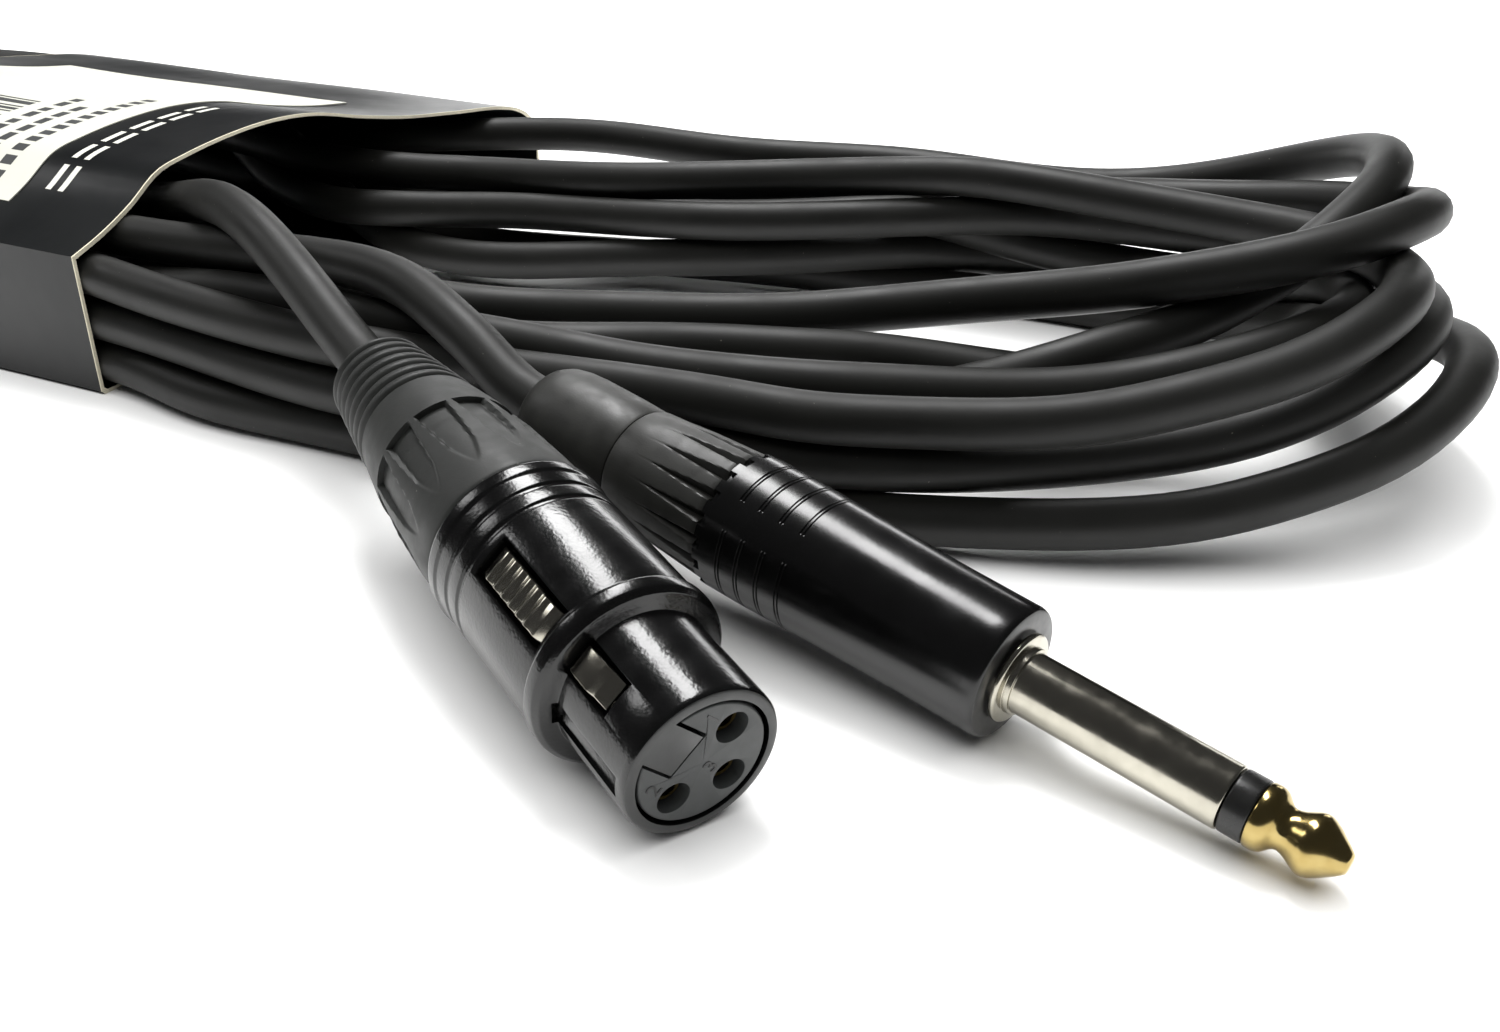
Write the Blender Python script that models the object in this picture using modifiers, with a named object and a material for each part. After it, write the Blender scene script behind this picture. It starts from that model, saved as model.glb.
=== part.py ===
"""Microphone cable wound as a flat hank in a card sleeve: three-pole female connector to 6.35 mm jack.

Metres, +Z up. X runs along the hank, the two connectors lie in front of it (-Y), and it stands on z = 0.
Connector pieces are drawn in millimetres in a local frame whose +Z is the mating direction.
"""
import math

import bmesh
import bpy
from mathutils import Matrix, Vector

MM = 0.001

# ---- driving sizes, millimetres ----
CORD_RADIUS = 3.1
TOUCH_GAP = 0.3

HANK_LENGTH = 390.0
HANK_WIDTH = 114.0
HANK_BUNDLE = 36.0
HANK_BOTTOM = 0.8
HANK_TOP = 16.5
HANK_CENTRE_Y = 27.4
HANK_EDGE = 5.5

SLEEVE_LENGTH = 114.0
SLEEVE_CENTRE_X = -47.4
SLEEVE_HALF_WIDTH = 58.5
CARD_THICKNESS = 0.5
# height of the sleeve's bulging top at places from -1, the front fold, to 1, the back fold
ARCH = [
    (-1.0, 21.0), (-0.9, 23.0), (-0.8, 25.6), (-0.7, 28.9), (-0.6, 30.0), (-0.4, 30.9), (-0.25, 30.7),
    (-0.1, 29.5), (0.1, 26.4), (0.3, 23.8), (0.55, 21.6), (0.8, 19.5), (0.9, 17.9), (0.96, 15.8), (1.0, 12.8),
]

XLR_FACE = (133.8, -78.9, 8.3)
XLR_HEADING = (0.855, -0.498, -0.146)
XLR_ROLL = 46.5
XLR_REAR = -72.4
CORE_END_XLR = -31.0
JACK_FACE = (153.7, -53.2, 7.7)
JACK_HEADING = (0.957, -0.265, -0.118)
JACK_REAR = -66.0
CORE_END_JACK = -22.5

CONTACT_CIRCLE = 4.0
CONTACT_HOLE = 1.75
CONTACT_ANGLES = {1: -90.0, 2: 90.0, 3: 180.0}
LATCH_PIVOT = (5.2, 0.0, -30.6)
CORD_BORE = 3.45

# ---- routes of the two free ends of the cord, outside the connectors, millimetres ----
XLR_TAIL = [
    (-35, -3.1, 20.0), (-21, -3.6, 20.0), (-7, -5.4, 20.5), (5, -8.4, 22.0), (15, -12.3, 24.6),
    (23, -16.4, 26.7), (33, -21.7, 27.5), (43, -27.0, 26.2), (52, -31.8, 23.9), (59, -35.7, 21.9),
]
JACK_TAIL = [
    (-35, -17.1, 20.0), (-19, -18.6, 20.0), (-3, -20.3, 20.0), (11, -20.8, 20.0), (23, -20.3, 20.1),
    (34, -19.8, 20.6), (45, -20.0, 21.4), (56, -21.8, 22.0), (65, -25.0, 21.6), (73, -28.7, 20.0),
    (80, -31.8, 18.2),
]

PARTS = "xlr_cable_coil"


# ---- scene set-up ----
def clear_scene():
    """Remove every object that the file started with."""
    for obj in list(bpy.data.objects):
        bpy.data.objects.remove(obj, do_unlink=True)


def make_collection(name):
    """Return a new collection linked to the scene."""
    collection = bpy.data.collections.new(name)
    bpy.context.scene.collection.children.link(collection)
    return collection


def make_material(name, colour, roughness, metallic=0.0):
    """Return a Principled material."""
    material = bpy.data.materials.new(name)
    material.use_nodes = True
    shader = material.node_tree.nodes["Principled BSDF"]
    shader.inputs["Base Color"].default_value = (*colour, 1.0)
    shader.inputs["Roughness"].default_value = roughness
    shader.inputs["Metallic"].default_value = metallic
    return material


clear_scene()
PART_COLLECTION = make_collection(PARTS)
CUTTER_COLLECTION = make_collection("cutters")

FINISHES = {
    "cable_pvc": make_material("cable_pvc", (0.03, 0.03, 0.032), 0.5),
    "black_zinc": make_material("black_zinc", (0.012, 0.012, 0.013), 0.22, 0.6),
    "black_metal": make_material("black_metal", (0.015, 0.015, 0.016), 0.25, 0.7),
    "boot_rubber": make_material("boot_rubber", (0.025, 0.025, 0.026), 0.6),
    "boot_plastic": make_material("boot_plastic", (0.03, 0.03, 0.031), 0.5),
    "insert_plastic": make_material("insert_plastic", (0.06, 0.062, 0.065), 0.55),
    "inner_plastic": make_material("inner_plastic", (0.5, 0.5, 0.48), 0.5),
    "nickel": make_material("nickel", (0.66, 0.64, 0.6), 0.25, 1.0),
    "gold": make_material("gold", (0.83, 0.6, 0.25), 0.22, 1.0),
    "spring_steel": make_material("spring_steel", (0.5, 0.5, 0.5), 0.35, 1.0),
    "core_red": make_material("core_red", (0.5, 0.03, 0.03), 0.5),
    "core_white": make_material("core_white", (0.75, 0.75, 0.72), 0.5),
    "core_screen": make_material("core_screen", (0.7, 0.35, 0.2), 0.4, 1.0),
    "black_card": make_material("black_card", (0.05, 0.06, 0.065), 0.35),
    "label_paper": make_material("label_paper", (0.8, 0.8, 0.78), 0.5),
}


# ---- modelling helpers ----
def add_object(name, data, finish=None, parent=None):
    """Link a new object to the part's collection, or to the cutters when it has no finish."""
    obj = bpy.data.objects.new(name, data)
    if finish is None:
        CUTTER_COLLECTION.objects.link(obj)
        obj.hide_render = True
        obj.display_type = "WIRE"
    else:
        PART_COLLECTION.objects.link(obj)
        data.materials.append(FINISHES[finish])
    obj.parent = parent
    return obj


def turned(name, profile, finish=None, parent=None, closed=True, steps=48):
    """Turn a profile of (radius, height) in millimetres about the parent's Z.

    The profile runs down the outer side, and a closed one comes back up the bore.
    """
    mesh = bpy.data.meshes.new(name)
    points = [(radius * MM, 0.0, height * MM) for radius, height in profile]
    edges = [(i, i + 1) for i in range(len(points) - 1)]
    if closed:
        edges.append((len(points) - 1, 0))
    mesh.from_pydata(points, edges, [])
    obj = add_object(name, mesh, finish, parent)
    screw = obj.modifiers.new("turn", "SCREW")
    screw.axis = "Z"
    screw.angle = math.tau
    screw.steps = steps
    screw.render_steps = steps
    screw.use_merge_vertices = True
    screw.merge_threshold = 0.00001
    screw.use_smooth_shade = False
    return obj


def block_mesh(name, boxes):
    """Return a mesh of boxes, each given as (centre, size, turn about Z in degrees) in millimetres."""
    shape = bmesh.new()
    for centre, size, turn in boxes:
        place = Matrix.Rotation(math.radians(turn), 4, "Z") @ Matrix.Translation(Vector(centre) * MM)
        scale = Matrix.Diagonal((size[0] * MM, size[1] * MM, size[2] * MM, 1.0))
        bmesh.ops.create_cube(shape, size=1.0, matrix=place @ scale)
    mesh = bpy.data.meshes.new(name)
    shape.to_mesh(mesh)
    shape.free()
    return mesh


def rod_mesh(name, rods, segments=24):
    """Return a mesh of rods, each given as (centre, radius, length, axis letter) in millimetres."""
    quarter = math.pi / 2
    turns = {"X": Matrix.Rotation(quarter, 4, "Y"), "Y": Matrix.Rotation(quarter, 4, "X"), "Z": Matrix()}
    shape = bmesh.new()
    for centre, radius, length, axis in rods:
        place = Matrix.Translation(Vector(centre) * MM) @ turns[axis]
        bmesh.ops.create_cone(shape, cap_ends=True, segments=segments, radius1=radius * MM,
                              radius2=radius * MM, depth=length * MM, matrix=place)
    mesh = bpy.data.meshes.new(name)
    shape.to_mesh(mesh)
    shape.free()
    return mesh


def combine(obj, other, operation):
    """Add a Boolean that cuts or joins another object."""
    boolean = obj.modifiers.new(operation.lower(), "BOOLEAN")
    boolean.operation = operation
    boolean.solver = "EXACT"
    boolean.object = other


def cut_blocks(obj, boxes, parent):
    """Cut boxes out of an object."""
    combine(obj, add_object(obj.name + "_pocket", block_mesh("pocket", boxes), None, parent), "DIFFERENCE")


def cut_rods(obj, rods, parent):
    """Cut round holes in an object."""
    combine(obj, add_object(obj.name + "_drill", rod_mesh("drill", rods), None, parent), "DIFFERENCE")


def tube(name, points, radius, finish, parent=None, resolution=2):
    """Return a round tube along points in millimetres, with filled ends."""
    curve = bpy.data.curves.new(name, "CURVE")
    curve.dimensions = "3D"
    curve.bevel_depth = radius * MM
    curve.bevel_resolution = resolution
    curve.use_fill_caps = True
    spline = curve.splines.new("POLY")
    spline.points.add(len(points) - 1)
    for slot, point in zip(spline.points, points):
        slot.co = (point[0] * MM, point[1] * MM, point[2] * MM, 1.0)
    return add_object(name, curve, finish, parent)


def outline_solid(name, outlines, half_thickness, finish, edge=0.0):
    """Return a flat outline of closed polylines in millimetres, extruded both ways, with rounded edges."""
    curve = bpy.data.curves.new(name, "CURVE")
    curve.dimensions = "2D"
    curve.fill_mode = "BOTH"
    curve.extrude = (half_thickness - edge) * MM
    curve.bevel_depth = edge * MM
    curve.bevel_resolution = 2
    curve.offset = -edge * MM
    for outline in outlines:
        spline = curve.splines.new("POLY")
        spline.points.add(len(outline) - 1)
        spline.use_cyclic_u = True
        for slot, point in zip(spline.points, outline):
            slot.co = (point[0] * MM, point[1] * MM, 0.0, 1.0)
    return add_object(name, curve, finish)


def smooth_path(points, spacing):
    """Return points about a spacing apart on a Catmull-Rom curve through the given points."""
    knots = [Vector(p) for p in points]
    knots = [2 * knots[0] - knots[1], *knots, 2 * knots[-1] - knots[-2]]
    path = []
    for a, b, c, d in zip(knots, knots[1:], knots[2:], knots[3:]):
        count = max(1, round((c - b).length / spacing))
        for step in range(count):
            t = step / count
            path.append(0.5 * (2 * b + (c - a) * t + (2 * a - 5 * b + 4 * c - d) * t * t
                               + (3 * b - a - 3 * c + d) * t ** 3))
    return [*path, knots[-2]]


def connector_frame(name, face, heading, roll):
    """Return an empty whose +Z is the mating direction, with +X turned from the top by roll degrees."""
    forward = Vector(heading).normalized()
    top = (Vector((0, 0, 1)) - forward.z * forward).normalized()
    side = Matrix.Rotation(math.radians(roll), 3, forward) @ top
    across = forward.cross(side)
    frame = bpy.data.objects.new(name, None)
    PART_COLLECTION.objects.link(frame)
    turn = Matrix((side, across, forward)).transposed().to_4x4()
    frame.matrix_world = Matrix.Translation(Vector(face) * MM) @ turn
    return frame


def on_circle(radius, degrees):
    """Return x and y on a circle."""
    angle = math.radians(degrees)
    return radius * math.cos(angle), radius * math.sin(angle)


# ---- female three-pole connector ----
def xlr_shell(frame):
    """Die-cast shell: slim nose, collar, barrel with a rear lip, and the two latch windows."""
    profile = [
        (7.55, 0.0), (7.85, -0.15), (8.0, -0.5), (8.0, -11.9), (8.7, -12.1), (9.6, -12.4), (10.1, -12.9),
        (10.2, -13.4), (10.2, -14.2), (10.0, -14.6), (9.75, -14.8), (9.85, -15.2), (9.9, -28.4), (9.7, -28.7),
        (9.7, -29.0), (9.9, -29.3), (9.9, -30.9), (9.7, -31.2), (9.7, -31.5), (9.9, -31.8), (9.9, -33.6),
        (10.1, -34.0), (10.1, -35.2), (9.9, -35.6), (8.2, -35.6), (8.2, -17.5), (6.95, -17.0),
        (6.95, -0.3), (7.1, 0.0),
    ]
    shell = turned("xlr_shell", profile, "black_zinc", frame, steps=64)
    windows = [((8.5, 0.0, -21.2), (4.0, 4.6, 12.4), 0.0), ((8.0, 0.0, -8.8), (4.0, 3.9, 6.8), 0.0)]
    cut_blocks(shell, windows, frame)
    cut_blocks(shell, [((8.0, 0.0, -6.9), (0.9, 2.4, 11.0), 45.0)], frame)
    return shell


def xlr_insert(frame):
    """Moulded insert that holds the contacts, with a trench for the latch and cheeks for its pin."""
    profile = [(0.0, -0.8), (6.35, -0.8), (6.65, -1.1), (6.65, -17.8), (7.9, -17.8), (7.9, -20.0),
               (0.0, -20.0)]
    insert = turned("xlr_insert", profile, "insert_plastic", frame, closed=False)
    cheeks = [((5.0, side * 4.3, -25.6), (2.2, 1.6, 12.8), 0.0) for side in (-1, 1)]
    combine(insert, add_object("xlr_insert_cheeks", block_mesh("cheeks", cheeks), None, frame), "UNION")
    cut_blocks(insert, [((5.9, 0.0, -11.6), (6.2, 7.0, 18.8), 0.0)], frame)
    holes = [((*on_circle(CONTACT_CIRCLE, angle), -10.0), CONTACT_HOLE, 24.0, "Z")
             for angle in CONTACT_ANGLES.values()]
    cut_rods(insert, [*holes, ((2.4, 0.0, -10.0), 1.5, 2.4, "X"), (LATCH_PIVOT, 0.85, 14.0, "Y")], frame)
    return insert


def xlr_contacts(frame):
    """Three socket contacts with solder cups at their rear."""
    profile = [(0.0, -12.0), (1.1, -12.0), (1.1, -1.6), (1.45, -1.6), (1.45, -17.0), (1.2, -17.2),
               (1.2, -24.0), (0.8, -24.0), (0.8, -21.0), (0.0, -21.0)]
    for number, angle in CONTACT_ANGLES.items():
        contact = turned(f"xlr_contact_{number}", profile, "gold", frame, closed=False, steps=24)
        contact.location = Vector((*on_circle(CONTACT_CIRCLE, angle), 0.0)) * MM


def xlr_latch(frame):
    """Rocking latch on its pin: push tab at the rear, hook in the nose window, coil spring under its arm."""
    pivot = bpy.data.objects.new("latch_axis", None)
    PART_COLLECTION.objects.link(pivot)
    pivot.parent = frame
    pivot.location = Vector(LATCH_PIVOT) * MM
    pieces = [((0.0, 0.0, 13.3), (1.2, 5.0, 26.6), 0.0), ((2.6, 0.0, 9.4), (4.4, 3.4, 11.4), 0.0),
              ((1.75, 0.0, 21.6), (2.7, 2.9, 6.0), 0.0)]
    latch = add_object("xlr_latch", block_mesh("latch", pieces[:1]), "nickel", pivot)
    for number, piece in enumerate(pieces[1:]):
        raised = add_object(f"latch_piece_{number}", block_mesh("piece", [piece]), None, pivot)
        combine(latch, raised, "UNION")
    knuckle = rod_mesh("knuckle", [((0.0, 0.0, 0.0), 1.4, 5.0, "Y")])
    combine(latch, add_object("latch_knuckle", knuckle, None, pivot), "UNION")
    cut_rods(latch, [((0.0, 0.0, 0.0), 0.85, 8.0, "Y")], pivot)
    add_object("xlr_latch_pin", rod_mesh("pin", [(LATCH_PIVOT, 0.5, 10.0, "Y")]), "spring_steel", frame)
    turns, height, radius = 3, 2.6, 1.0
    coil = [(1.5 + height * i / (12 * turns), radius * math.cos(math.tau * i / 12),
             -10.0 + radius * math.sin(math.tau * i / 12)) for i in range(12 * turns + 1)]
    tube("xlr_latch_spring", coil, 0.16, "spring_steel", frame)


def xlr_back(frame):
    """Cable clamp, threaded bushing and rubber boot."""
    clamp = [(6.4, -32.6), (6.4, -41.0), (5.6, -45.0), (CORD_BORE, -45.0), (CORD_BORE, -32.6)]
    chuck = turned("xlr_chuck", clamp, "inner_plastic", frame, steps=32)
    slits = [((4.5, 0.0, -41.0), (7.0, 0.9, 10.0), turn) for turn in (0.0, 90.0, 180.0, 270.0)]
    cut_blocks(chuck, slits, frame)
    turned("xlr_bushing", [(7.9, -32.6), (7.9, -35.3), (7.4, -35.6), (7.4, -46.5), (6.0, -46.5),
                           (6.75, -44.0), (6.75, -32.6)], "inner_plastic", frame)
    grooves = []
    groove_count, first_groove, pitch = 7, -58.8, 1.9
    for index in range(groove_count):
        top = first_groove - index * pitch
        radius = 7.5 - 0.25 * index
        grooves += [(radius, top), (radius - 0.45, top - 0.2), (radius - 0.5, top - 0.55),
                    (radius - 0.1, top - 0.8)]
    outer = [(9.4, -35.9), (9.65, -36.3), (9.55, -40.0), (9.1, -48.0), (8.5, -53.0), (7.75, -57.5), *grooves,
             (5.4, -71.8), (5.0, XLR_REAR)]
    inner = [(CORD_BORE, XLR_REAR), (CORD_BORE, -47.0), (7.75, -47.0), (7.75, -35.9)]
    boot = turned("xlr_boot", outer + inner, "boot_rubber", frame)
    shape = bmesh.new()
    flute_count = 12
    for index in range(flute_count):
        place = (Matrix.Rotation(math.tau * index / flute_count, 4, "Z")
                 @ Matrix.Translation(Vector((9.6, 0.0, -46.5)) * MM)
                 @ Matrix.Rotation(math.radians(5.0), 4, "Y")
                 @ Matrix.Diagonal((0.9, 1.7, 6.8, 1.0)))
        bmesh.ops.create_uvsphere(shape, u_segments=12, v_segments=10, radius=MM, matrix=place)
    mesh = bpy.data.meshes.new("flutes")
    shape.to_mesh(mesh)
    shape.free()
    combine(boot, add_object("boot_flutes", mesh, None, frame), "DIFFERENCE")


def xlr_cores(frame):
    """Two cores and the screen, from the cord's cut end to the solder cups."""
    finishes = {1: "core_screen", 2: "core_red", 3: "core_white"}
    for number, angle in CONTACT_ANGLES.items():
        cup = on_circle(CONTACT_CIRCLE, angle)
        root = on_circle(1.1, angle)
        route = [(*cup, -24.3), (*cup, -25.5), ((cup[0] + root[0]) / 2, (cup[1] + root[1]) / 2, -27.8),
                 (*root, -29.8), (*root, CORE_END_XLR + TOUCH_GAP)]
        tube(f"xlr_core_{number}", route, 0.65, finishes[number], frame)


# ---- 6.35 mm jack plug ----
def jack_finger(frame):
    """Sleeve, insulator ring and tip, held on a centre rod."""
    turned("jack_sleeve", [(3.0, 22.8), (3.175, 22.6), (3.175, 1.6), (3.5, 1.6), (3.5, 0.9), (4.5, 0.9),
                           (4.7, 0.7), (4.7, 0.3), (3.35, 0.3), (3.35, -7.5), (5.8, -7.5), (5.8, -8.7),
                           (2.05, -8.7), (2.05, 22.8)], "nickel", frame)
    turned("jack_insulator_ring", [(3.1, 25.1), (3.1, 23.1), (1.3, 23.1), (1.3, 25.1)], "boot_plastic", frame)
    turned("jack_tip", [(0.0, 33.7), (0.85, 33.7), (1.1, 33.5), (2.75, 31.2), (2.95, 30.5), (2.8, 29.8),
                        (2.05, 28.4), (2.0, 27.8), (2.5, 27.2), (3.05, 26.6), (3.15, 26.2), (3.15, 25.4),
                        (1.3, 25.4), (1.3, 28.5), (0.0, 28.5)], "gold", frame, closed=False)
    turned("jack_tip_rod", [(0.0, 28.2), (1.0, 28.2), (1.0, -11.0), (1.7, -11.0), (1.7, -17.0), (1.2, -17.0),
                            (1.2, -13.5), (0.0, -13.5)], "nickel", frame, closed=False, steps=24)
    turned("jack_rod_insulator", [(1.75, 22.8), (1.75, -9.0), (5.6, -9.0), (5.6, -10.6), (1.3, -10.6),
                                  (1.3, 22.8)], "inner_plastic", frame, steps=32)
    lug = turned("jack_ground_lug", [(5.6, -10.9), (5.6, -11.5), (2.1, -11.5), (2.1, -10.9)], "nickel", frame,
                 steps=32)
    tongue = block_mesh("tongue", [((4.5, 0.0, -15.5), (0.6, 3.4, 9.2), 0.0)])
    combine(lug, add_object("lug_tongue", tongue, None, frame), "UNION")


def jack_barrel(frame):
    """Barrel with a flat front, and the fluted nut, clamp and tail behind it."""
    shell = turned("jack_shell", [
        (6.5, 0.0), (6.85, -0.2), (7.0, -0.7), (7.1, -9.0), (7.35, -18.0), (7.75, -30.0), (7.8, -35.0),
        (6.6, -35.0), (6.6, -2.0), (3.7, -2.0), (3.7, 0.0)], "black_metal", frame)
    crenel_count = 18
    cut_blocks(shell, [((7.4, 0.0, -34.9), (2.4, 1.2, 1.8), 360.0 * index / crenel_count)
                       for index in range(crenel_count)], frame)
    chuck = turned("jack_chuck", [(5.4, -23.0), (5.4, -33.0), (5.0, -36.0), (CORD_BORE, -36.0),
                                  (CORD_BORE, -23.0)], "inner_plastic", frame, steps=32)
    cut_blocks(chuck, [((4.2, 0.0, -33.0), (6.0, 0.8, 8.0), turn) for turn in (0.0, 180.0)], frame)
    nut = turned("jack_nut", [(6.3, -30.0), (6.3, -35.3), (7.4, -35.3), (7.4, -37.0), (7.1, -43.0),
                              (6.5, -50.0), (CORD_BORE, -50.0), (CORD_BORE, -37.0), (5.75, -36.4),
                              (5.75, -30.0)],
                 "boot_plastic", frame)
    flute_count = 18
    shape = bmesh.new()
    for index in range(flute_count):
        place = (Matrix.Rotation(math.tau * index / flute_count, 4, "Z")
                 @ Matrix.Translation(Vector((7.8, 0.0, -38.6)) * MM)
                 @ Matrix.Rotation(math.radians(-3.0), 4, "Y")
                 @ Matrix.Rotation(math.radians(45.0), 4, "Z"))
        bmesh.ops.create_cone(shape, cap_ends=True, segments=4, radius1=0.2 * MM, radius2=1.4 * MM,
                              depth=18.0 * MM, matrix=place)
    mesh = bpy.data.meshes.new("flutes")
    shape.to_mesh(mesh)
    shape.free()
    combine(nut, add_object("nut_flutes", mesh, None, frame), "DIFFERENCE")
    turned("jack_tail", [(6.2, -50.3), (6.5, -50.7), (6.6, -57.0), (6.6, -62.0), (6.1, -64.4), (5.0, -65.7),
                         (4.0, JACK_REAR), (CORD_BORE, JACK_REAR), (CORD_BORE, -50.3)], "boot_plastic", frame)


def jack_cores(frame):
    """Signal core to the tip's cup and the screen to the earth tongue."""
    tube("jack_core_signal", [(0.0, 0.0, -17.3), (0.0, 0.0, -18.6), (0.5, 0.8, -20.6),
                              (0.5, 1.0, CORE_END_JACK + TOUCH_GAP)], 0.65, "core_red", frame)
    tube("jack_core_screen", [(3.5, 0.0, -13.2), (3.5, 0.0, -17.0), (3.0, -0.6, -19.4), (1.4, -1.3, -21.2),
                              (1.2, -1.4, CORE_END_JACK + TOUCH_GAP)], 0.6, "core_screen", frame)


# ---- cord ----
def on_axis(face, heading, distance):
    """Return the point a distance along a connector's axis from its face, in millimetres."""
    return Vector(face) + Vector(heading).normalized() * distance


def cord_tail(name, route, face, heading, rear, core_end):
    """Free end of the cord: along its route, then straight up the boot to the clamp."""
    stops = (rear - 7.0, rear, (rear + core_end) / 2, core_end)
    straight = [on_axis(face, heading, distance) for distance in stops]
    tube(name, smooth_path([*route, *straight], 4 * CORD_RADIUS), CORD_RADIUS, "cable_pvc")


def racetrack(length, width):
    """Return a closed outline with straight sides and round ends, centred on the hank."""
    radius = width / 2
    straight = length / 2 - radius
    steps = 20
    right = [(straight + radius * math.sin(math.pi * i / steps), -radius * math.cos(math.pi * i / steps))
             for i in range(steps + 1)]
    return [*right, *[(-x, -y) for x, y in right]]


def cable_hank():
    """Outer shape of the wound turns: a flat ring with round ends and soft edges."""
    inner_width = HANK_WIDTH - 2 * HANK_BUNDLE
    outlines = [racetrack(HANK_LENGTH, HANK_WIDTH), racetrack(HANK_LENGTH - 2 * HANK_BUNDLE, inner_width)]
    hank = outline_solid("cable_hank", outlines, (HANK_TOP - HANK_BOTTOM) / 2, "cable_pvc", HANK_EDGE)
    hank.location = (0.0, HANK_CENTRE_Y * MM, (HANK_TOP + HANK_BOTTOM) / 2 * MM)


# ---- card sleeve ----
def arch(across, rise):
    """Return a height on the sleeve's bulging top, on a smooth curve through the places given."""
    slopes = [(d[1] - c[1]) / (d[0] - c[0]) for c, d in zip(ARCH, ARCH[1:])]
    tangents = [slopes[0], *[(low + high) / 2 for low, high in zip(slopes, slopes[1:])], slopes[-1]]
    index = max(i for i in range(len(slopes)) if ARCH[i][0] <= across or i == 0)
    (start, low), (end, high) = ARCH[index], ARCH[index + 1]
    span = end - start
    t = (across - start) / span
    return (rise + low * (2 * t ** 3 - 3 * t ** 2 + 1) + high * (3 * t ** 2 - 2 * t ** 3)
            + span * (tangents[index] * (t ** 3 - 2 * t ** 2 + t) + tangents[index + 1] * (t ** 3 - t ** 2)))


def arch_points(rise, first, last, half_width, steps):
    """Return points along the arch from one place to another."""
    spread = [first + (last - first) * 0.5 * (1 - math.cos(math.pi * i / steps)) for i in range(steps + 1)]
    return [(place * half_width, arch(place, rise)) for place in spread]


def card_sleeve():
    """Folded card band round the middle of the hank, and the paper label on its top."""
    steps = 28
    outer = [(-SLEEVE_HALF_WIDTH, 0.0), *arch_points(0.0, -1.0, 1.0, SLEEVE_HALF_WIDTH, steps),
             (SLEEVE_HALF_WIDTH, 0.0)]
    inside = SLEEVE_HALF_WIDTH - CARD_THICKNESS
    inner = [(-inside, CARD_THICKNESS), *arch_points(-CARD_THICKNESS, -1.0, 1.0, inside, steps),
             (inside, CARD_THICKNESS)]
    sleeve = outline_solid("card_sleeve", [outer, inner], SLEEVE_LENGTH / 2, "black_card")
    label_low = arch_points(TOUCH_GAP, -0.86, 0.45, SLEEVE_HALF_WIDTH, 18)
    label_high = arch_points(TOUCH_GAP + 0.25, -0.86, 0.45, SLEEVE_HALF_WIDTH, 18)
    label = outline_solid("card_label", [[*label_low, *reversed(label_high)]], 36.0, "label_paper")
    for obj in (sleeve, label):
        obj.rotation_euler = (math.pi / 2, 0.0, math.pi / 2)
        obj.location = (SLEEVE_CENTRE_X * MM, HANK_CENTRE_Y * MM, 0.0)


def main():
    """Build every piece of the part."""
    xlr = connector_frame("xlr_frame", XLR_FACE, XLR_HEADING, XLR_ROLL)
    jack = connector_frame("jack_frame", JACK_FACE, JACK_HEADING, 0.0)
    xlr_shell(xlr)
    xlr_insert(xlr)
    xlr_contacts(xlr)
    xlr_latch(xlr)
    xlr_back(xlr)
    xlr_cores(xlr)
    jack_finger(jack)
    jack_barrel(jack)
    jack_cores(jack)
    cord_tail("xlr_tail", XLR_TAIL, XLR_FACE, XLR_HEADING, XLR_REAR, CORE_END_XLR)
    cord_tail("jack_tail_cord", JACK_TAIL, JACK_FACE, JACK_HEADING, JACK_REAR, CORE_END_JACK)
    cable_hank()
    card_sleeve()


main()
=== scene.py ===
"""Looks of a microphone cable wound as a flat hank in a folded card sleeve.

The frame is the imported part's, in metres, +Z up. Sizes are written in millimetres and turned to metres where a mesh
is made. Each connector is drawn in its own frame: +Z is its mating direction and the face lies at z = 0.
"""
import logging
import math
from dataclasses import dataclass, field
from enum import Enum
from typing import Callable

import bmesh
import bpy
import numpy as np
from mathutils import Matrix, Vector


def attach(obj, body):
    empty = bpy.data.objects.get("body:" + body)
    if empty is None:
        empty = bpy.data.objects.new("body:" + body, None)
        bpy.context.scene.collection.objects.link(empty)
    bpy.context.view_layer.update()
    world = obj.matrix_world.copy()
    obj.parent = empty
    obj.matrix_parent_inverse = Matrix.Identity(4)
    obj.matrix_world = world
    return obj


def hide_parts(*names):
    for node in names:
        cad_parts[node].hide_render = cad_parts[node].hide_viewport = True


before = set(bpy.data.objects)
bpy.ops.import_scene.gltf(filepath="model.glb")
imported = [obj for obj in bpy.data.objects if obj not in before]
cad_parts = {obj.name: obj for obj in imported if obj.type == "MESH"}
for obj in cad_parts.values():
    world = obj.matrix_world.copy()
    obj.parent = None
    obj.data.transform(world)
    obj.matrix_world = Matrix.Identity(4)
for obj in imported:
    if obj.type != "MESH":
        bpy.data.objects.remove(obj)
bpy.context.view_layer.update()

MM = 0.001
SPECK_SIZE = 0.45
SPAN_SAMPLES = 24
LOG = logging.getLogger("cable_coil")
Piece = bpy.types.Object
Material = bpy.types.Material
Tree = bpy.types.NodeTree
Socket = bpy.types.NodeSocket
Point = tuple[float, float, float]
Profile = list[tuple[float, float]]


class Body(Enum):
    """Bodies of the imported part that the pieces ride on."""

    CABLE = "cable"
    LATCH = "latch"
    SLEEVE = "sleeve"
    XLR_CLAMP = "xlr_clamp"
    XLR_BACK = "xlr_back"
    JACK_CLAMP = "jack_clamp"
    JACK_BACK = "jack_back"


class Cut(Enum):
    """What a tool does to a piece."""

    AWAY = "DIFFERENCE"
    JOIN = "UNION"


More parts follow.
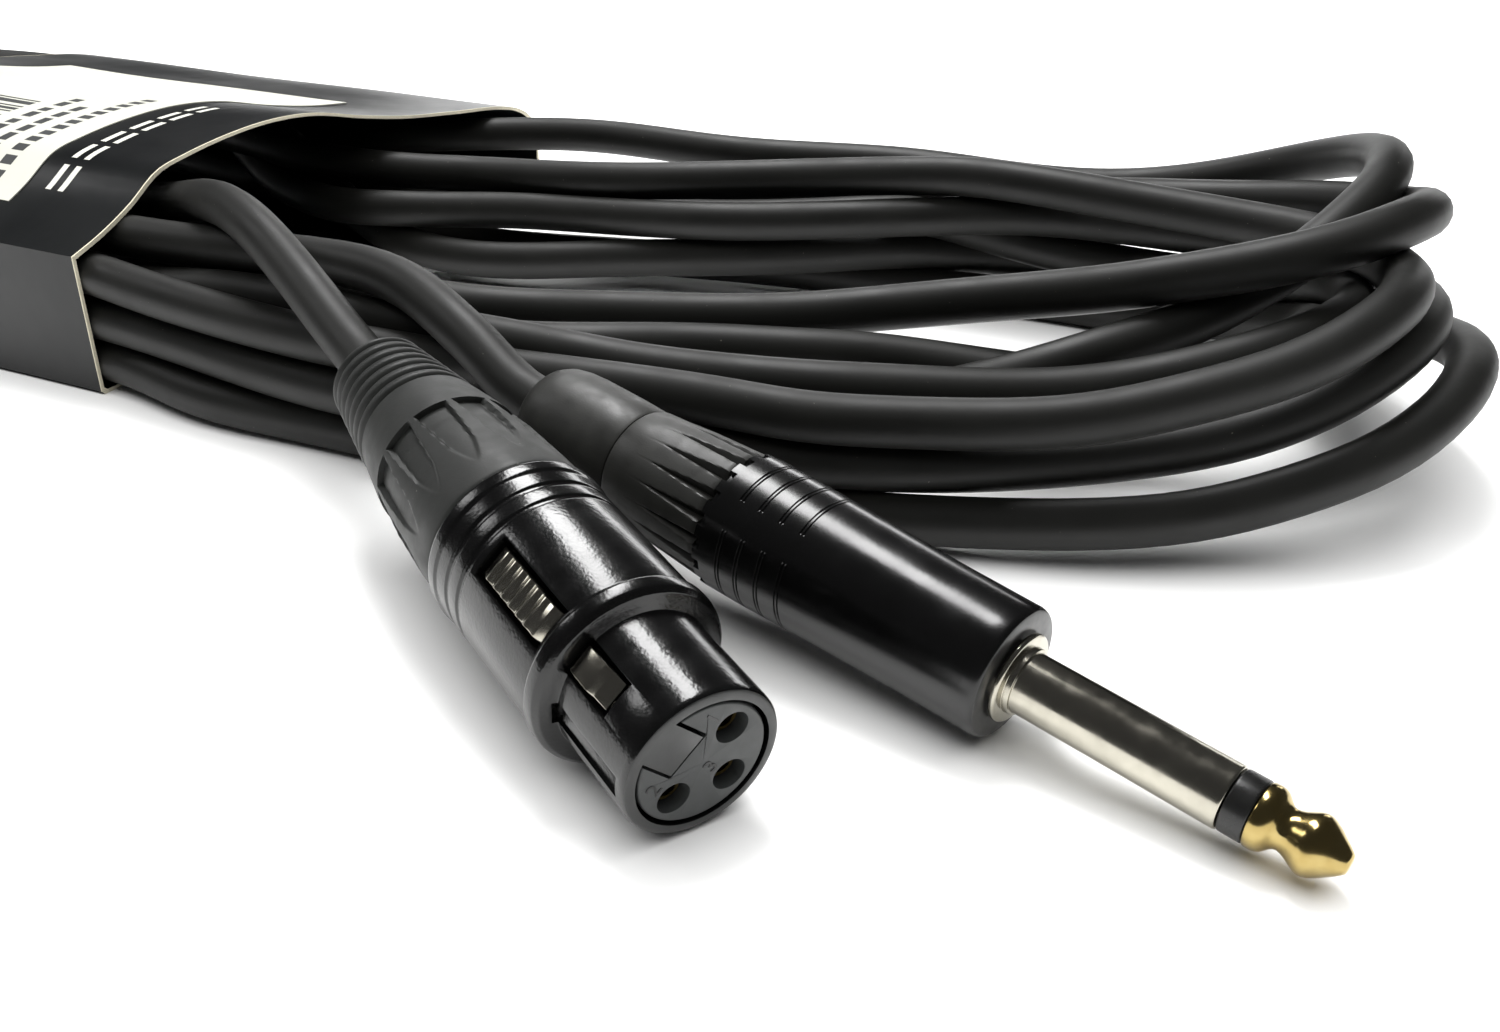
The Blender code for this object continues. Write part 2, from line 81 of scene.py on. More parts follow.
# ---- finishes ----
def linear(colour: str) -> tuple[float, float, float, float]:
    """Turn an sRGB hex colour into linear light.

    Args:
        colour: the colour as "#rrggbb".

    Returns:
        Red, green, blue and an alpha of one.
    """
    parts = [int(colour[i:i + 2], 16) / 255 for i in (1, 3, 5)]
    red, green, blue = [v / 12.92 if v <= 0.04045 else ((v + 0.055) / 1.055) ** 2.4 for v in parts]
    return red, green, blue, 1.0


def add_node(tree: Tree, kind: str, inputs: dict | None = None, **settings: object) -> bpy.types.Node:
    """Add a shader node.

    Args:
        tree: the node tree.
        kind: the node's type.
        inputs: values or output sockets, by the name or number of the input they go to.
        settings: the node's own properties.

    Returns:
        The new node.
    """
    node = tree.nodes.new(kind)
    for name, value in settings.items():
        setattr(node, name, value)
    for name, value in (inputs or {}).items():
        if isinstance(value, Socket):
            tree.links.new(value, node.inputs[name])
        else:
            node.inputs[name].default_value = value
    return node


@dataclass(frozen=True)
class Grain:
    """One layer of surface relief: the size of its features and their depth, in millimetres."""

    size: float
    depth: float
    detail: float = 2.0


@dataclass(frozen=True)
class Finish:
    """A surface: its own colour, a second colour that clouds it, how it shines, and its relief."""

    name: str
    colour: str
    second: str
    roughness: float
    roughness_spread: float = 0.06
    metallic: float = 0.0
    ior: float = 1.5
    cloud_size: float = 4.0
    coat: float = 0.0
    coat_roughness: float = 0.1
    speck_colour: str = ""
    speck_share: float = 0.0
    grains: tuple[Grain, ...] = ()

    def build(self) -> Material:
        """Make the material.

        Returns:
            A material with a Principled shader fed by object-space patterns.
        """
        material = bpy.data.materials.new(self.name)
        material.use_nodes = True
        tree = material.node_tree
        shader = tree.nodes["Principled BSDF"]
        place = add_node(tree, "ShaderNodeTexCoord").outputs["Object"]
        cloud = add_node(tree, "ShaderNodeTexNoise",
                         {"Vector": place, "Scale": 1 / (self.cloud_size * MM), "Detail": 3.0}).outputs["Fac"]
        colour = self.paint(tree, place, cloud)
        spread = add_node(tree, "ShaderNodeMapRange",
                          {"Value": cloud, "From Min": 0.3, "From Max": 0.7,
                           "To Min": max(0.02, self.roughness - self.roughness_spread),
                           "To Max": min(1.0, self.roughness + self.roughness_spread)})
        tree.links.new(colour, shader.inputs["Base Color"])
        tree.links.new(spread.outputs["Result"], shader.inputs["Roughness"])
        shader.inputs["Metallic"].default_value = self.metallic
        if not self.metallic:
            shader.inputs["IOR"].default_value = self.ior
        shader.inputs["Coat Weight"].default_value = self.coat
        shader.inputs["Coat Roughness"].default_value = self.coat_roughness
        normal = self.relief(tree, place)
        if normal is not None:
            tree.links.new(normal, shader.inputs["Normal"])
        return material

    def paint(self, tree: Tree, place: Socket,
              cloud: Socket) -> Socket:
        """Mix the two colours by the cloud, with fine specks over them where the surface has any.

        Args:
            tree: the node tree.
            place: object coordinates.
            cloud: the cloud's strength.

        Returns:
            The colour socket.
        """
        mixed = add_node(tree, "ShaderNodeMix", {"Factor": cloud}, data_type="RGBA")
        # a Mix node keeps one pair of sockets for each kind of data, so the colours go to the colour pair
        for socket, value in zip([s for s in mixed.inputs if s.type == "RGBA"], (self.colour, self.second)):
            socket.default_value = linear(value)
        result = next(s for s in mixed.outputs if s.type == "RGBA")
        if not self.speck_share:
            return result
        specks = add_node(tree, "ShaderNodeTexNoise",
                          {"Vector": place, "Scale": 1 / (SPECK_SIZE * MM), "Detail": 1.0})
        edge = add_node(tree, "ShaderNodeMapRange",
                        {"Value": specks.outputs["Fac"], "From Min": 1 - self.speck_share,
                         "From Max": 1.03 - self.speck_share})
        over = add_node(tree, "ShaderNodeMix", {"Factor": edge.outputs["Result"]}, data_type="RGBA")
        base, speck = [s for s in over.inputs if s.type == "RGBA"]
        tree.links.new(result, base)
        speck.default_value = linear(self.speck_colour)
        return next(s for s in over.outputs if s.type == "RGBA")

    def relief(self, tree: Tree, place: Socket) -> Socket | None:
        """Stack the grains as bumps.

        Args:
            tree: the node tree.
            place: object coordinates.

        Returns:
            The normal socket, or None for a surface without relief.
        """
        normal = None
        for grain in self.grains:
            noise = add_node(tree, "ShaderNodeTexNoise",
                             {"Vector": place, "Scale": 1 / (grain.size * MM), "Detail": grain.detail})
            bump = add_node(tree, "ShaderNodeBump",
                            {"Height": noise.outputs["Fac"], "Distance": grain.depth * MM, "Strength": 1.0})
            if normal is not None:
                tree.links.new(normal, bump.inputs["Normal"])
            normal = bump.outputs["Normal"]
        return normal


# Plasticised PVC, extruded: an even matt black skin with a soft sheen, and pale lint that clings to it.
PVC_JACKET = Finish("extruded_pvc", "#111110", "#181816", 0.52, 0.05, cloud_size=9.0, ior=1.4,
                    speck_colour="#55534d", speck_share=0.2, grains=(Grain(0.5, 0.008), Grain(3.0, 0.02)))
# Die-cast zinc under gloss black lacquer: mirror-like, with the fine orange peel of a sprayed coat.
ZINC_LACQUER = Finish("lacquered_zinc", "#050505", "#080808", 0.19, 0.04, ior=1.52, cloud_size=3.0,
                      grains=(Grain(0.38, 0.016, 1.0), Grain(1.8, 0.02)))
# The same casting's front, rubbed by mating plugs: satin rather than gloss.
ZINC_SATIN = Finish("satin_zinc", "#1b1c1c", "#242524", 0.42, 0.08, ior=1.55, cloud_size=2.0,
                    grains=(Grain(0.25, 0.004),))
# Machined brass under smooth black chrome: a dark deep gloss with almost no grain.
BLACK_CHROME = Finish("black_chrome", "#050505", "#080808", 0.22, 0.04, ior=1.5, cloud_size=5.0,
                      grains=(Grain(0.3, 0.003, 1.0), Grain(2.5, 0.02)))
# Turned end face of that barrel: fine tool marks give it a satin look.
TURNED_FACE = Finish("turned_satin_face", "#1a1a19", "#20201f", 0.34, 0.05, ior=1.6, cloud_size=1.0,
                     grains=(Grain(0.15, 0.004),))
# Soft moulded rubber, matt as its mould was spark-eroded, and lightly dusty.
RUBBER = Finish("moulded_rubber", "#171817", "#20211f", 0.56, 0.07, ior=1.52, cloud_size=2.5,
                speck_colour="#5d5d57", speck_share=0.2, grains=(Grain(0.22, 0.01), Grain(1.2, 0.01)))
# Glass-filled nylon, moulded: matt with a slight pebble.
NYLON = Finish("moulded_nylon", "#191918", "#22221f", 0.47, 0.07, ior=1.53, cloud_size=2.0,
               speck_colour="#66655e", speck_share=0.19, grains=(Grain(0.18, 0.009), Grain(1.0, 0.008)))
# Dark grey PBT of the contact insert: dry and matt, so the holes read as darker than it.
INSERT_PBT = Finish("moulded_pbt", "#2c2e2f", "#343635", 0.5, 0.06, ior=1.55, cloud_size=1.5,
                    grains=(Grain(0.16, 0.006),))
# Nickel over pressed steel: warm grey metal with soft wear marks.
NICKEL = Finish("nickel_plate", "#bdb9ac", "#a5a195", 0.2, 0.06, 1.0, cloud_size=1.6,
                grains=(Grain(0.5, 0.003), Grain(0.12, 0.0008)))
# Thin gold flash over nickel, turned: rich yellow with fine turning haze.
GOLD = Finish("gold_flash", "#b8a672", "#9d874f", 0.17, 0.05, 1.0, cloud_size=1.5,
              grains=(Grain(0.6, 0.002), Grain(0.12, 0.0006)))
# Gold inside the socket mouths, dulled, with painted shade: its colour is darkened to stand for the shadow down in the
# sockets.
SHADED_SOCKET_GOLD = Finish("socket_gold_painted_shade", "#7f6d3c", "#5d5231", 0.35, 0.08, 1.0, cloud_size=0.8,
                      grains=(Grain(0.2, 0.003),))
# Drawn spring steel, oiled and dull.
SPRING_STEEL = Finish("drawn_spring_steel", "#8b8b88", "#737371", 0.35, 0.08, 1.0, cloud_size=0.8,
                      grains=(Grain(0.2, 0.002),))
# Acetal, moulded in black: waxy, with a thin bright line where its edge turns.
ACETAL = Finish("moulded_acetal", "#101010", "#181817", 0.3, 0.05, ior=1.48, cloud_size=1.2,
                grains=(Grain(0.3, 0.003),))
# Natural acetal of the clamps: milky and waxy.
CLAMP_ACETAL = Finish("natural_acetal", "#c9c7bd", "#bdbbb0", 0.4, 0.06, ior=1.48, cloud_size=1.5,
                      grains=(Grain(0.3, 0.004),))
# PVC core insulation, extruded and shiny.
CORE_RED = Finish("red_core_pvc", "#a32a24", "#93231f", 0.38, 0.05, ior=1.53, cloud_size=1.0,
                  grains=(Grain(0.3, 0.004),))
CORE_WHITE = Finish("white_core_pvc", "#dad8cf", "#cbc9bf", 0.38, 0.05, ior=1.53, cloud_size=1.0,
                    grains=(Grain(0.3, 0.004),))
# Bare copper screen, twisted to a pigtail.
CORE_COPPER = Finish("bare_copper_strand", "#b87349", "#9c5c37", 0.35, 0.08, 1.0, cloud_size=0.5,
                     grains=(Grain(0.15, 0.02),))
# Grey-black printed board under gloss varnish: a wet-looking skin that ripples slightly over the board's fibres.
CARD_VARNISH = Finish("varnished_card", "#08090a", "#0c0e0f", 0.34, 0.05, ior=1.38, cloud_size=20.0,
                      grains=(Grain(9.0, 0.12), Grain(0.35, 0.003)))
# The same board's cut edge: cream fibre, dry and slightly furry.
CARD_EDGE = Finish("cut_board_edge", "#e2dcc6", "#cdc6ae", 0.85, 0.08, cloud_size=0.6, grains=(Grain(0.15, 0.03),))
# Coated label paper: bright white with a low sheen.
LABEL_PAPER = Finish("coated_label_paper", "#c9c9be", "#bfbfb4", 0.42, 0.05, cloud_size=12.0,
                     grains=(Grain(0.2, 0.003), Grain(8.0, 0.05)))
# Matt printing inks.
INK_DARK = Finish("black_printing_ink", "#2b2c2d", "#3a3b3b", 0.5, 0.05, cloud_size=1.0, grains=(Grain(0.1, 0.001),))
INK_PALE = Finish("white_printing_ink", "#d6d6cc", "#c7c7bd", 0.4, 0.05, cloud_size=1.0, grains=(Grain(0.1, 0.001),))
# The studio's sweep: seamless pale paper.
SWEEP_PAPER = Finish("seamless_sweep_paper", "#fbfbfa", "#f8f8f7", 0.9, 0.02, cloud_size=60.0)


# ---- mesh making ----
def place_mesh(name: str, vertices: list[Point], faces: list[tuple[int, ...]], finish: Material,
               home: Matrix | None = None) -> Piece:
    """Link a mesh to the scene.

    Args:
        name: the piece's name.
        vertices: points in millimetres.
        faces: loops of vertex numbers.
        finish: the material.
        home: the frame that the points are in, or None for the part's own.

    Returns:
        The new object.
    """
    mesh = bpy.data.meshes.new(name)
    mesh.from_pydata([Vector(v) * MM for v in vertices], [], faces)
    shape = bmesh.new()
    shape.from_mesh(mesh)
    bmesh.ops.recalc_face_normals(shape, faces=shape.faces)
    shape.to_mesh(mesh)
    shape.free()
    mesh.materials.append(finish)
    piece = bpy.data.objects.new(name, mesh)
    bpy.context.scene.collection.objects.link(piece)
    if home is not None:
        piece.matrix_world = home
    return piece


def smooth(piece: Piece, angle: float = 32.0) -> Piece:
    """Shade a piece smooth.

    Args:
        piece: a mesh object.
        angle: faces that turn by more than this, in degrees, meet in a crease.

    Returns:
        The piece.
    """
    piece.data.shade_smooth()
    piece.data.set_sharp_from_angle(angle=math.radians(angle))
    return piece


def settle(piece: Piece) -> Piece:
    """Bake a piece's modifiers into its mesh.

    Args:
        piece: a mesh object with modifiers.

    Returns:
        The same object, with none.
    """
    bpy.context.view_layer.update()
    evaluated = piece.evaluated_get(bpy.context.evaluated_depsgraph_get())
    mesh = bpy.data.meshes.new_from_object(evaluated)
    piece.modifiers.clear()
    piece.data = mesh
    return piece


def carve(piece: Piece, tool: Piece, cut: Cut = Cut.AWAY) -> Piece:
    """Cut or join a tool with a piece, and remove the tool.

    Args:
        piece: the object worked on.
        tool: the cutter.
        cut: what the tool does.

    Returns:
        The piece.
    """
    boolean = piece.modifiers.new("carve", "BOOLEAN")
    boolean.operation = cut.value
    boolean.solver = "EXACT"
    boolean.object = tool
    settle(piece)
    bpy.data.objects.remove(tool)
    return piece


def soften(piece: Piece, width: float, segments: int = 2, angle: float = 35.0) -> Piece:
    """Round a piece's sharp edges.

    Args:
        piece: a mesh object.
        width: the rounding's width in millimetres.
        segments: steps across the rounding.
        angle: edges that turn by less than this, in degrees, are left.

    Returns:
        The piece.
    """
    bevel = piece.modifiers.new("soften", "BEVEL")
    bevel.width = width * MM
    bevel.segments = segments
    bevel.limit_method = "ANGLE"
    bevel.angle_limit = math.radians(angle)
    bevel.use_clamp_overlap = True
    return settle(piece)


def skin(name: str, rows: list[float], radius: Callable[[np.ndarray, float], np.ndarray], bore: Profile,
         finish: Material, home: Matrix, steps: int) -> Piece:
    """Turn a ring whose outer radius may change round it.

    Args:
        name: the piece's name.
        rows: heights of the outer rings, from the front back, in millimetres.
        radius: gives the outer radius for an array of angles at a height.
        bore: (radius, height) of the inner rings, from the back to the front.
        finish: the material.
        home: the connector's frame.
        steps: points round a ring.

    Returns:
        A closed ring-shaped mesh.
    """
    turn = np.arange(steps) * math.tau / steps
    rings = [(np.broadcast_to(radius(turn, height), turn.shape), height) for height in rows]
    rings += [(np.full(steps, inner), height) for inner, height in bore]
    vertices = [(r * c, r * s, height) for reach, height in rings for r, c, s in zip(reach, np.cos(turn), np.sin(turn))]
    faces = []
    for ring in range(len(rings)):
        low, high = ring * steps, (ring + 1) % len(rings) * steps
        faces += [(low + i, low + (i + 1) % steps, high + (i + 1) % steps, high + i) for i in range(steps)]
    return place_mesh(name, vertices, faces, finish, home)


def turned(name: str, profile: Profile, finish: Material, home: Matrix, steps: int = 96) -> Piece:
    """Turn a profile about the frame's Z.

    Args:
        name: the piece's name.
        profile: (radius, height) points; one that starts and ends at radius zero is a solid, any other is a ring.
        finish: the material.
        home: the connector's frame.
        steps: points round a ring.

    Returns:
        A closed mesh.
    """
    solid = profile[0][0] == 0 and profile[-1][0] == 0
    inner = profile[1:-1] if solid else profile
    turn = [i * math.tau / steps for i in range(steps)]
    vertices = [(r * math.cos(a), r * math.sin(a), height) for r, height in inner for a in turn]
    faces = []
    count = len(inner)
    for ring in range(count - 1 if solid else count):
        low, high = ring * steps, (ring + 1) % count * steps
        faces += [(low + i, low + (i + 1) % steps, high + (i + 1) % steps, high + i) for i in range(steps)]
    if solid:
        first, last = len(vertices), len(vertices) + 1
        vertices += [(0, 0, profile[0][1]), (0, 0, profile[-1][1])]
        faces += [(i, (i + 1) % steps, first) for i in range(steps)]
        end = (count - 1) * steps
        faces += [(end + i, end + (i + 1) % steps, last) for i in range(steps)]
    return place_mesh(name, vertices, faces, finish, home)


def rounded(profile: Profile, reach: float, sharp: float = 25.0, steps: int = 3) -> Profile:
    """Round the corners of a profile.

    Args:
        profile: (radius, height) points, taken as an open line.
        reach: how far back from a corner the rounding starts, in millimetres.
        sharp: corners that turn by less than this, in degrees, are left.
        steps: points added at a corner.

    Returns:
        The new profile.
    """
    result = [profile[0]]
    for a, b, c in zip(profile, profile[1:], profile[2:]):
        before, after = Vector(a) - Vector(b), Vector(c) - Vector(b)
        if before.length < 1e-6 or after.length < 1e-6 or math.degrees(math.pi - before.angle(after)) < sharp:
            result.append(b)
            continue
        start = Vector(b) + before.normalized() * min(reach, before.length / 2.2)
        end = Vector(b) + after.normalized() * min(reach, after.length / 2.2)
        for step in range(steps + 1):
            t = step / steps
            point = start * (1 - t) ** 2 + Vector(b) * 2 * t * (1 - t) + end * t ** 2
            result.append((point.x, point.y))
    return [*result, profile[-1]]


def prism(name: str, outline: Profile, low: float, high: float, finish: Material,
          home: Matrix) -> Piece:
    """Extrude an outline of (x, z) along Y.

    Args:
        name: the piece's name.
        outline: corners in order round the outline, in millimetres.
        low: where it starts in Y.
        high: where it ends.
        finish: the material.
        home: the frame.

    Returns:
        A closed mesh.
    """
    count = len(outline)
    vertices = [(x, y, z) for y in (low, high) for x, z in outline]
    faces = [tuple(range(count)), tuple(range(2 * count - 1, count - 1, -1))]
    faces += [(i, (i + 1) % count, count + (i + 1) % count, count + i) for i in range(count)]
    return place_mesh(name, vertices, faces, finish, home)


def box(name: str, centre: Point, size: Point, finish: Material, home: Matrix,
        turn: float = 0.0) -> Piece:
    """Make a block, used as a cutting tool or as raw stock.

    Args:
        name: the piece's name.
        centre: its middle, before the turn.
        size: its full sizes.
        finish: the material.
        home: the frame.
        turn: degrees about the frame's Z.

    Returns:
        A closed mesh.
    """
    corners = [(x * size[0] / 2, y * size[1] / 2, z * size[2] / 2) for x in (-1, 1) for y in (-1, 1) for z in (-1, 1)]
    shift = Matrix.Translation(Vector(centre))
    spin = Matrix.Rotation(math.radians(turn), 4, "Z")
    vertices = [tuple(spin @ shift @ Vector(c)) for c in corners]
    faces = [(0, 1, 3, 2), (4, 6, 7, 5), (0, 4, 5, 1), (2, 3, 7, 6), (0, 2, 6, 4), (1, 5, 7, 3)]
    return place_mesh(name, vertices, faces, finish, home)


def ring_interpolator(profile: Profile) -> Callable[[float], float]:
    """Make a function that reads a profile.

    Args:
        profile: (radius, height) points from front to back.

    Returns:
        A function from a height to the radius there.
    """
    heights = [-h for _, h in profile]
    radii = [r for r, _ in profile]
    return lambda height: float(np.interp(-height, heights, radii))


def mount(piece: Piece, body: Body, slot: str, *nodes: str) -> Piece:
    """Bake a piece's place into its mesh and ride it on a body.

    Args:
        piece: the object.
        body: what it moves with.
        slot: its finish's slot; not used.
        nodes: the CAD nodes that it stands for.

    Returns:
        The piece.
    """
    piece.data.transform(piece.matrix_world)
    piece.matrix_world = Matrix.Identity(4)
    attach(piece, body.value)
    if nodes:
        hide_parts(*nodes)
    return piece


# ---- cord ----
def spline(points: np.ndarray, spacing: float) -> np.ndarray:
    """Run a curve with even curvature through points.

    Args:
        points: the points, one a row.
        spacing: the distance between the samples returned.

    Returns:
        Samples evenly spaced along the curve.
    """
    steps = np.sqrt(np.linalg.norm(np.diff(points, axis=0), axis=1))
    knots = np.concatenate([[0.0], np.cumsum(steps)])
    count = len(points)
    system, right = np.zeros((count, count)), np.zeros((count, 3))
    system[0, 0] = system[-1, -1] = 1.0
    for i in range(1, count - 1):
        before, after = steps[i - 1], steps[i]
        system[i, i - 1:i + 2] = before, 2 * (before + after), after
        right[i] = 6 * ((points[i + 1] - points[i]) / after - (points[i] - points[i - 1]) / before)
    bend = np.linalg.solve(system, right)
    samples = []
    for i in range(count - 1):
        span = steps[i]
        t = np.linspace(0, span, SPAN_SAMPLES, endpoint=False)[:, None]
        samples.append(bend[i] * (span - t) ** 3 / (6 * span) + bend[i + 1] * t ** 3 / (6 * span)
                       + (points[i] / span - bend[i] * span / 6) * (span - t)
                       + (points[i + 1] / span - bend[i + 1] * span / 6) * t)
    dense = np.vstack([*samples, points[-1:]])
    return resample(dense, spacing)


def resample(line: np.ndarray, spacing: float) -> np.ndarray:
    """Space points evenly along a polyline.

    Args:
        line: the polyline's points, one a row.
        spacing: about how far apart the new points lie.

    Returns:
        The new points.
    """
    along = np.concatenate([[0.0], np.cumsum(np.linalg.norm(np.diff(line, axis=0), axis=1))])
    places = np.linspace(0, along[-1], max(2, round(along[-1] / spacing)) + 1)
    return np.stack([np.interp(places, along, line[:, k]) for k in range(3)], axis=1)


@dataclass
class ConnectorPlace:
    """Where a connector lies: the middle of its face, its heading, and its roll in degrees from the top.

    Its rear, the end of the cord inside it and its hull, (radius, height) points that the strands keep clear of, are
    measured along its axis from the face.
    """

    face: Point
    heading: Point
    roll: float
    rear: float
    cord_end: float
    hull: Profile

    def home(self) -> Matrix:
        """Return the connector's frame in metres.

        Returns:
            A matrix with +Z forward and +X turned from the top by the roll.
        """
        forward = Vector(self.heading).normalized()
        top = (Vector((0, 0, 1)) - forward.z * forward).normalized()
        side = Matrix.Rotation(math.radians(self.roll), 3, forward) @ top
        turn = Matrix((side, forward.cross(side), forward)).transposed().to_4x4()
        return Matrix.Translation(Vector(self.face) * MM) @ turn

    def at(self, distance: float) -> np.ndarray:
        """Return the point a distance along the axis from the face, in millimetres."""
        return np.array(Vector(self.face) + Vector(self.heading).normalized() * distance)


XLR = ConnectorPlace((133.8, -78.9, 8.3), (0.855, -0.498, -0.146), 46.5, -72.4, -31.0,
                     [(10.3, 2.0), (10.3, -38.0), (9.2, -52.0), (5.3, -73.0)])
JACK = ConnectorPlace((153.7, -53.2, 7.7), (0.957, -0.265, -0.118), 0.0, -66.0, -22.5,
                      [(7.2, 2.0), (7.9, -36.0), (6.6, -52.0), (6.6, -63.0), (5.0, -66.5)])


@dataclass
class CordCoil:
    """The cord from connector to connector: a tail, seven turns in the hank, and the other tail.

    Each turn's right-hand half is a short list of points, from the sleeve's mouth along the front, round the loop
    and back. The left-hand halves are worked out from their reach, in three columns of three layers.
    """

    sleeve: "CardSleeve"
    diameter: float = 6.2
    spacing: float = 3.0
    length: float = 6.0
    reach: float = 186.0
    left_round: float = 62.0
    left_half_width: float = 53.0
    pitch: float = 6.5
    columns: int = 3
    gap: float = 0.15
    roof_gap: float = 0.9
    floor_gap: float = 0.1
    layer_reach: float = 15.0
    lead_in: float = 24.0
    sleeve_low_x: float = -142.0
    sleeve_high_x: float = 11.0
    rounds: int = 320
    tightest: float = 20.5
    xlr_tail: list[Point] = field(default_factory=lambda: [
        (59, -35.7, 21.9), (52, -31.8, 23.9), (43, -27.0, 26.2), (33, -21.7, 27.5), (23, -16.4, 26.7),
        (15, -12.3, 24.6), (5, -8.4, 22.0), (-7, -5.4, 20.5), (-21, -3.6, 20.0), (-35, -3.1, 20.0)])
    xlr_inside: list[Point] = field(default_factory=lambda: [
        (-52, 0, 20), (-68, 8, 19), (-83, 21, 16), (-97, 40, 11), (-110, 58, 6)])
    jack_tail: list[Point] = field(default_factory=lambda: [
        (-35, -17.1, 20.0), (-19, -18.6, 20.0), (-3, -20.3, 20.0), (11, -20.8, 20.0), (23, -20.3, 20.1),
        (34, -19.8, 20.6), (45, -20.0, 21.4), (56, -21.8, 22.0), (65, -25.0, 21.6), (73, -28.7, 20.0),
        (80, -31.8, 18.2)])
    turns: list[list[Point]] = field(default_factory=lambda: [
        [(-20, -14, 6), (10, -19, 8), (29, -20.5, 14), (46, -19.5, 15), (58.5, -18, 14), (74, -16.5, 14),
         (84, -13, 14), (95.5, -6, 13), (108, -2, 12.5), (120.5, 2.5, 12), (133, 6.5, 12), (145, 10, 13),
         (156, 14, 15), (165, 21, 17.5), (169, 32, 18), (166, 45, 14), (154, 56, 8), (136, 60, 4), (115, 60, 4),
         (86, 56, 4), (50, 47, 4), (10, 42, 4)],
        [(-20, -20, 12), (10, -24, 15), (30, -25, 17.5), (52, -26.5, 17.5), (66, -24, 17), (89, -21, 15.5),
         (101, -17, 14.5), (113, -12.5, 14), (125, -8, 14), (136, -3.5, 14), (147, 1.5, 15), (158, 6.5, 18),
         (168, 15, 21), (173, 28, 22), (170, 43, 20), (158, 55, 15), (140, 61, 11), (115, 60, 10), (86, 56, 10),
         (50, 48, 10), (10, 44, 9)],
        [(-20, -8, 4), (10, -14, 5), (45, -12, 6), (75, -6, 6), (100, 0, 7), (120, 3, 9), (130, 5, 11),
         (138, 7.5, 13), (147, 13, 15), (156, 19, 18), (165, 27, 23), (171, 35, 27), (174.5, 46, 30.5),
         (171, 59, 30.5), (160, 71, 26), (145, 77, 20.5), (128, 79, 17), (110, 79, 16.5), (91, 78, 17),
         (62, 73.5, 16.5), (31, 74.5, 16), (5, 67, 15), (-17, 57, 15)],
        [(-20, -4, 12), (8, -8, 13), (25, -10, 14), (40, -11.5, 15), (56, -10.5, 15), (66, -7.5, 14.5),
         (78, -3, 14.5), (91, 2, 14.5), (104, 7, 15), (117, 12, 16.5), (131, 14.5, 19), (149, 15.5, 23),
         (164, 17.5, 27.5), (174, 23.5, 30.5), (178.5, 34, 31.5), (175.5, 47, 29), (164, 59, 25), (147, 65, 21),
         (131, 65.5, 19), (115, 64, 17), (92, 62, 15), (66, 56, 14), (35, 52, 13), (5, 50, 12)],
        [(-25, -27, 16), (8, -28, 16), (30, -28, 15.5), (52, -28, 15), (80, -26, 14.5), (105, -24, 14),
         (118, -24, 14.5), (129, -21, 15), (140.5, -18, 16), (151, -14, 17.5), (161, -9.5, 20.5), (170, -3.5, 23.5),
         (176.5, 6, 26.5), (178.5, 18, 27), (175, 31, 25), (165, 44, 23), (149, 51.5, 22), (133, 54, 22),
         (117, 55, 22), (100, 54.5, 21), (74, 49, 19), (50, 44, 17), (26, 43, 15), (-4, 38.5, 14)],
        [(-25, -28, 9.8), (10, -30.3, 9.7), (30, -30.4, 9.6), (53, -30.8, 9.4), (86, -27.5, 9.3), (120, -22.5, 9.3),
         (140, -15, 9.8), (156, -7, 11.5), (166, -2, 14), (174.5, 5, 17.5), (180, 15, 20.5), (181, 28, 20.5),
         (176, 42, 18), (161, 55, 15), (132, 61, 14), (101, 53, 14), (70, 42.5, 13), (33, 38.5, 11), (0, 32.5, 10)],
        [(-25, -27.5, 3.7), (12, -28, 3.7), (29, -31, 3.5), (47, -30.6, 3.4), (57, -30.3, 3.3), (86.5, -28, 3.3),
         (112, -25.4, 3.4), (130.5, -22, 4), (150.5, -17, 5.5), (163, -11.5, 7), (172, -6, 9.5), (180.5, 1.5, 12.5),
         (186, 11, 15.5), (188, 23, 17), (184.5, 37, 15), (174.5, 50, 11.5), (160, 59, 9), (140, 64, 8),
         (115, 62.5, 8), (86, 48, 8), (54, 36.5, 7), (16, 31.6, 6)]])

    def left_loop(self, number: int) -> list[Point]:
        """Lay out one left-hand loop, from the back of the hank to its front.

        Args:
            number: which of the eight loops, in winding order.

        Returns:
            Points in millimetres.
        """
        column, layer = number % self.columns, number // self.columns
        half = self.left_half_width - column * self.pitch
        reach = self.reach - column * self.pitch - self.layer_reach * layer
        height = self.diameter / 2 + 0.4 + layer * (self.diameter + 0.2)
        tilt = 1.6 * math.sin(2.1 * number)
        straight = self.left_round - reach
        middle = self.sleeve.centre_y
        points = [(straight + self.lead_in, middle + half - 3, height)] if number else []
        bends = 10
        for step in range(0 if number else 2, bends + 1):
            angle = math.pi * step / bends
            x = straight - self.left_round * math.sin(angle)
            points.append((x, middle + tilt + half * math.cos(angle), height + 1.2 * math.sin(angle)))
        return [*points, (straight + self.lead_in, middle - half + 2, height)]

    def route(self) -> np.ndarray:
        """Join the tails, the turns and the left-hand loops.

        Returns:
            Evenly spaced samples of the whole route, before the strands are pushed clear of each other.
        """
        line = [XLR.at(d) for d in (XLR.cord_end, XLR.cord_end - 14, XLR.rear, XLR.rear - 6)]
        line += [*self.xlr_tail, *self.xlr_inside]
        for number, turn in enumerate(self.turns):
            line += [*self.left_loop(number), *turn]
        line += [*self.left_loop(len(self.turns)), *self.jack_tail]
        line += [JACK.at(d) for d in (JACK.rear - 6, JACK.rear, JACK.cord_end - 14, JACK.cord_end)]
        return spline(np.array([tuple(p) for p in line], float), self.spacing)

